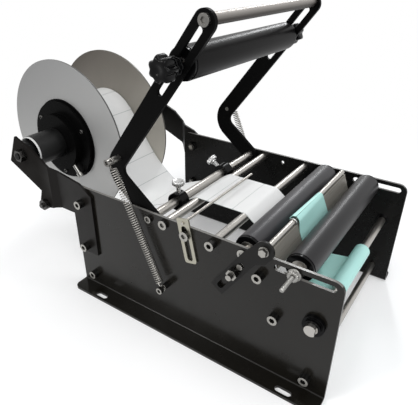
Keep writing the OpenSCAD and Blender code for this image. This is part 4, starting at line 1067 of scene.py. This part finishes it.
def make_camera():
    level, drop = math.cos(CAMERA_DIP), math.sin(CAMERA_DIP)
    ahead = Vector((-math.sin(CAMERA_TURN) * level, math.cos(CAMERA_TURN) * level, -drop))
    right = Vector((math.cos(CAMERA_TURN), math.sin(CAMERA_TURN), 0))
    up = right.cross(ahead)
    across = math.cos(CAMERA_ROLL) * right + math.sin(CAMERA_ROLL) * up
    above = math.cos(CAMERA_ROLL) * up - math.sin(CAMERA_ROLL) * right
    data = bpy.data.cameras.new("photo_camera")
    data.sensor_fit = "HORIZONTAL"
    data.sensor_width = CAMERA_SENSOR
    data.lens = CAMERA_LENS
    data.clip_start = CAMERA_NEAR
    camera = bpy.data.objects.new("photo_camera", data)
    turn = Matrix((across, above, -ahead)).transposed().to_4x4()
    camera.matrix_world = Matrix.Translation(CAMERA_PLACE) @ turn
    bpy.context.scene.collection.objects.link(camera)
    bpy.context.scene.camera = camera


# Name, place, target, size, watts and colour of each lamp; the strip draws the streaks on the rollers
LAMPS = (
    ("key", (-0.75, -1.25, 1.05), (-0.04, 0, 0.14), (0.5, 0.5), 9, (1.0, 0.985, 0.96)),
    ("fill", (0.85, -1.05, 1.0), (-0.04, 0, 0.14), (0.9, 0.9), 9, (1, 1, 1)),
    ("top", (0.45, 0.1, 1.45), (0.08, 0, 0), (0.6, 0.8), 5, (1, 1, 1)),
    ("strip", (-0.42, 1.45, 1.4), (0.05, 0, 0.1), (0.16, 1.4), 11, (0.97, 0.985, 1.0)),
)


def add_lamp(name, place, target, size, power, colour):
    data = bpy.data.lights.new(name, "AREA")
    data.shape = "RECTANGLE"
    data.size, data.size_y = size
    data.energy = power
    data.color = colour
    lamp = bpy.data.objects.new(name, data)
    direction = Vector(target) - Vector(place)
    lamp.matrix_world = Matrix.Translation(place) @ direction.to_track_quat("-Z", "Y").to_matrix().to_4x4()
    bpy.context.scene.collection.objects.link(lamp)


def plain_view(tree):
    """High for rays that look straight at a surface: camera, mirror and glass rays."""
    rays = tree.nodes.new("ShaderNodeLightPath")
    total = rays.outputs["Is Camera Ray"]
    for name in ("Is Glossy Ray", "Is Transmission Ray"):
        most = tree.nodes.new("ShaderNodeMath")
        most.operation = "MAXIMUM"
        tree.links.new(total, most.inputs[0])
        tree.links.new(rays.outputs[name], most.inputs[1])
        total = most.outputs[0]
    return total


def mixed(tree, fac, first, second):
    """A mix of two shaders."""
    mix = tree.nodes.new("ShaderNodeMixShader")
    for socket, value in zip(mix.inputs, (fac, first, second)):
        tree.links.new(value, socket)
    return mix.outputs[0]


def background(tree, colour, strength):
    node = tree.nodes.new("ShaderNodeBackground")
    node.inputs["Color"].default_value = colour
    node.inputs["Strength"].default_value = strength
    return node.outputs[0]


WORLD_LIGHT, WORLD_COLOUR = 0.55, (0.95, 0.97, 1.0, 1)
WHITE = (1, 1, 1, 1)


def make_world():
    """White for rays that look straight at it, and a weaker sky light for all others."""
    world = bpy.data.worlds.new("studio")
    bpy.context.scene.world = world
    world.use_nodes = True
    tree = world.node_tree
    tree.nodes.clear()
    sky, white = background(tree, WORLD_COLOUR, WORLD_LIGHT), background(tree, WHITE, 1.0)
    surface = mixed(tree, plain_view(tree), sky, white)
    tree.links.new(surface, tree.nodes.new("ShaderNodeOutputWorld").inputs["Surface"])


# The floor turns plain white between two distances from the middle, and glows a little before that
FLOOR_REACH, FLOOR_DROP = 6.0, -0.2 * MM
FLOOR_COLOUR, FLOOR_ROUGH = (0.80, 0.80, 0.80), 0.9
FLOOR_NEAR, FLOOR_FAR = 0.30, 0.70
FLOOR_GLOW = 0.22


def make_floor():
    """A pale floor that takes the object's shadow and turns plain white away from it."""
    mesh = bpy.data.meshes.new("floor")
    corners = ((-1, -1), (1, -1), (1, 1), (-1, 1))
    mesh.from_pydata([(x * FLOOR_REACH, y * FLOOR_REACH, FLOOR_DROP) for x, y in corners], [], [(0, 1, 2, 3)])
    floor = bpy.data.objects.new("floor", mesh)
    bpy.context.scene.collection.objects.link(floor)
    finish = Finish("floor_pale", FLOOR_COLOUR, FLOOR_ROUGH, Specular_IOR_Level=0.0)
    tree = finish.tree
    seen = plain_view(tree)
    away = finish.span(finish.vector("LENGTH", finish.place), 0.0, 1.0, FLOOR_NEAR, FLOOR_FAR)
    faint = finish.add("ShaderNodeEmission", Color=WHITE, Strength=finish.math("MULTIPLY", seen, FLOOR_GLOW))
    white = finish.add("ShaderNodeEmission", Color=WHITE)
    near = tree.nodes.new("ShaderNodeAddShader")
    tree.links.new(finish.shader.outputs[0], near.inputs[0])
    tree.links.new(faint.outputs[0], near.inputs[1])
    surface = mixed(tree, finish.math("MULTIPLY", seen, away), near.outputs[0], white.outputs[0])
    tree.links.new(surface, tree.nodes["Material Output"].inputs["Surface"])
    mesh.materials.append(finish.material)


def make_studio():
    make_world()
    make_floor()
    for lamp in LAMPS:
        add_lamp(*lamp)
    bpy.context.scene.view_settings.view_transform = "Standard"


dress_frame()
make_spring("left_spring")
make_spring("right_spring")
make_label_web()
make_liner()
make_label_roll()
make_liner_winding()
make_knob("left_knob")
make_knob("right_knob")
make_thumb_screw("left_thumb_screw", 0.0)
make_thumb_screw("right_thumb_screw", math.radians(58))
make_flange_screws("left_flange_screws", "left_hub_flange", "reel_flange", -1)
make_flange_screws("right_flange_screws", "right_hub_flange", "reel", 1)
make_flange_rim("left_flange_rim", "left_hub_flange", "left_reel_disc", "reel_flange", -1)
make_flange_rim("right_flange_rim", "right_hub_flange", "right_reel_disc", "reel", 1)
make_front_axle()
make_peel_bolt()
make_bush_seals()
make_hub_washers()
make_camera()
make_studio()
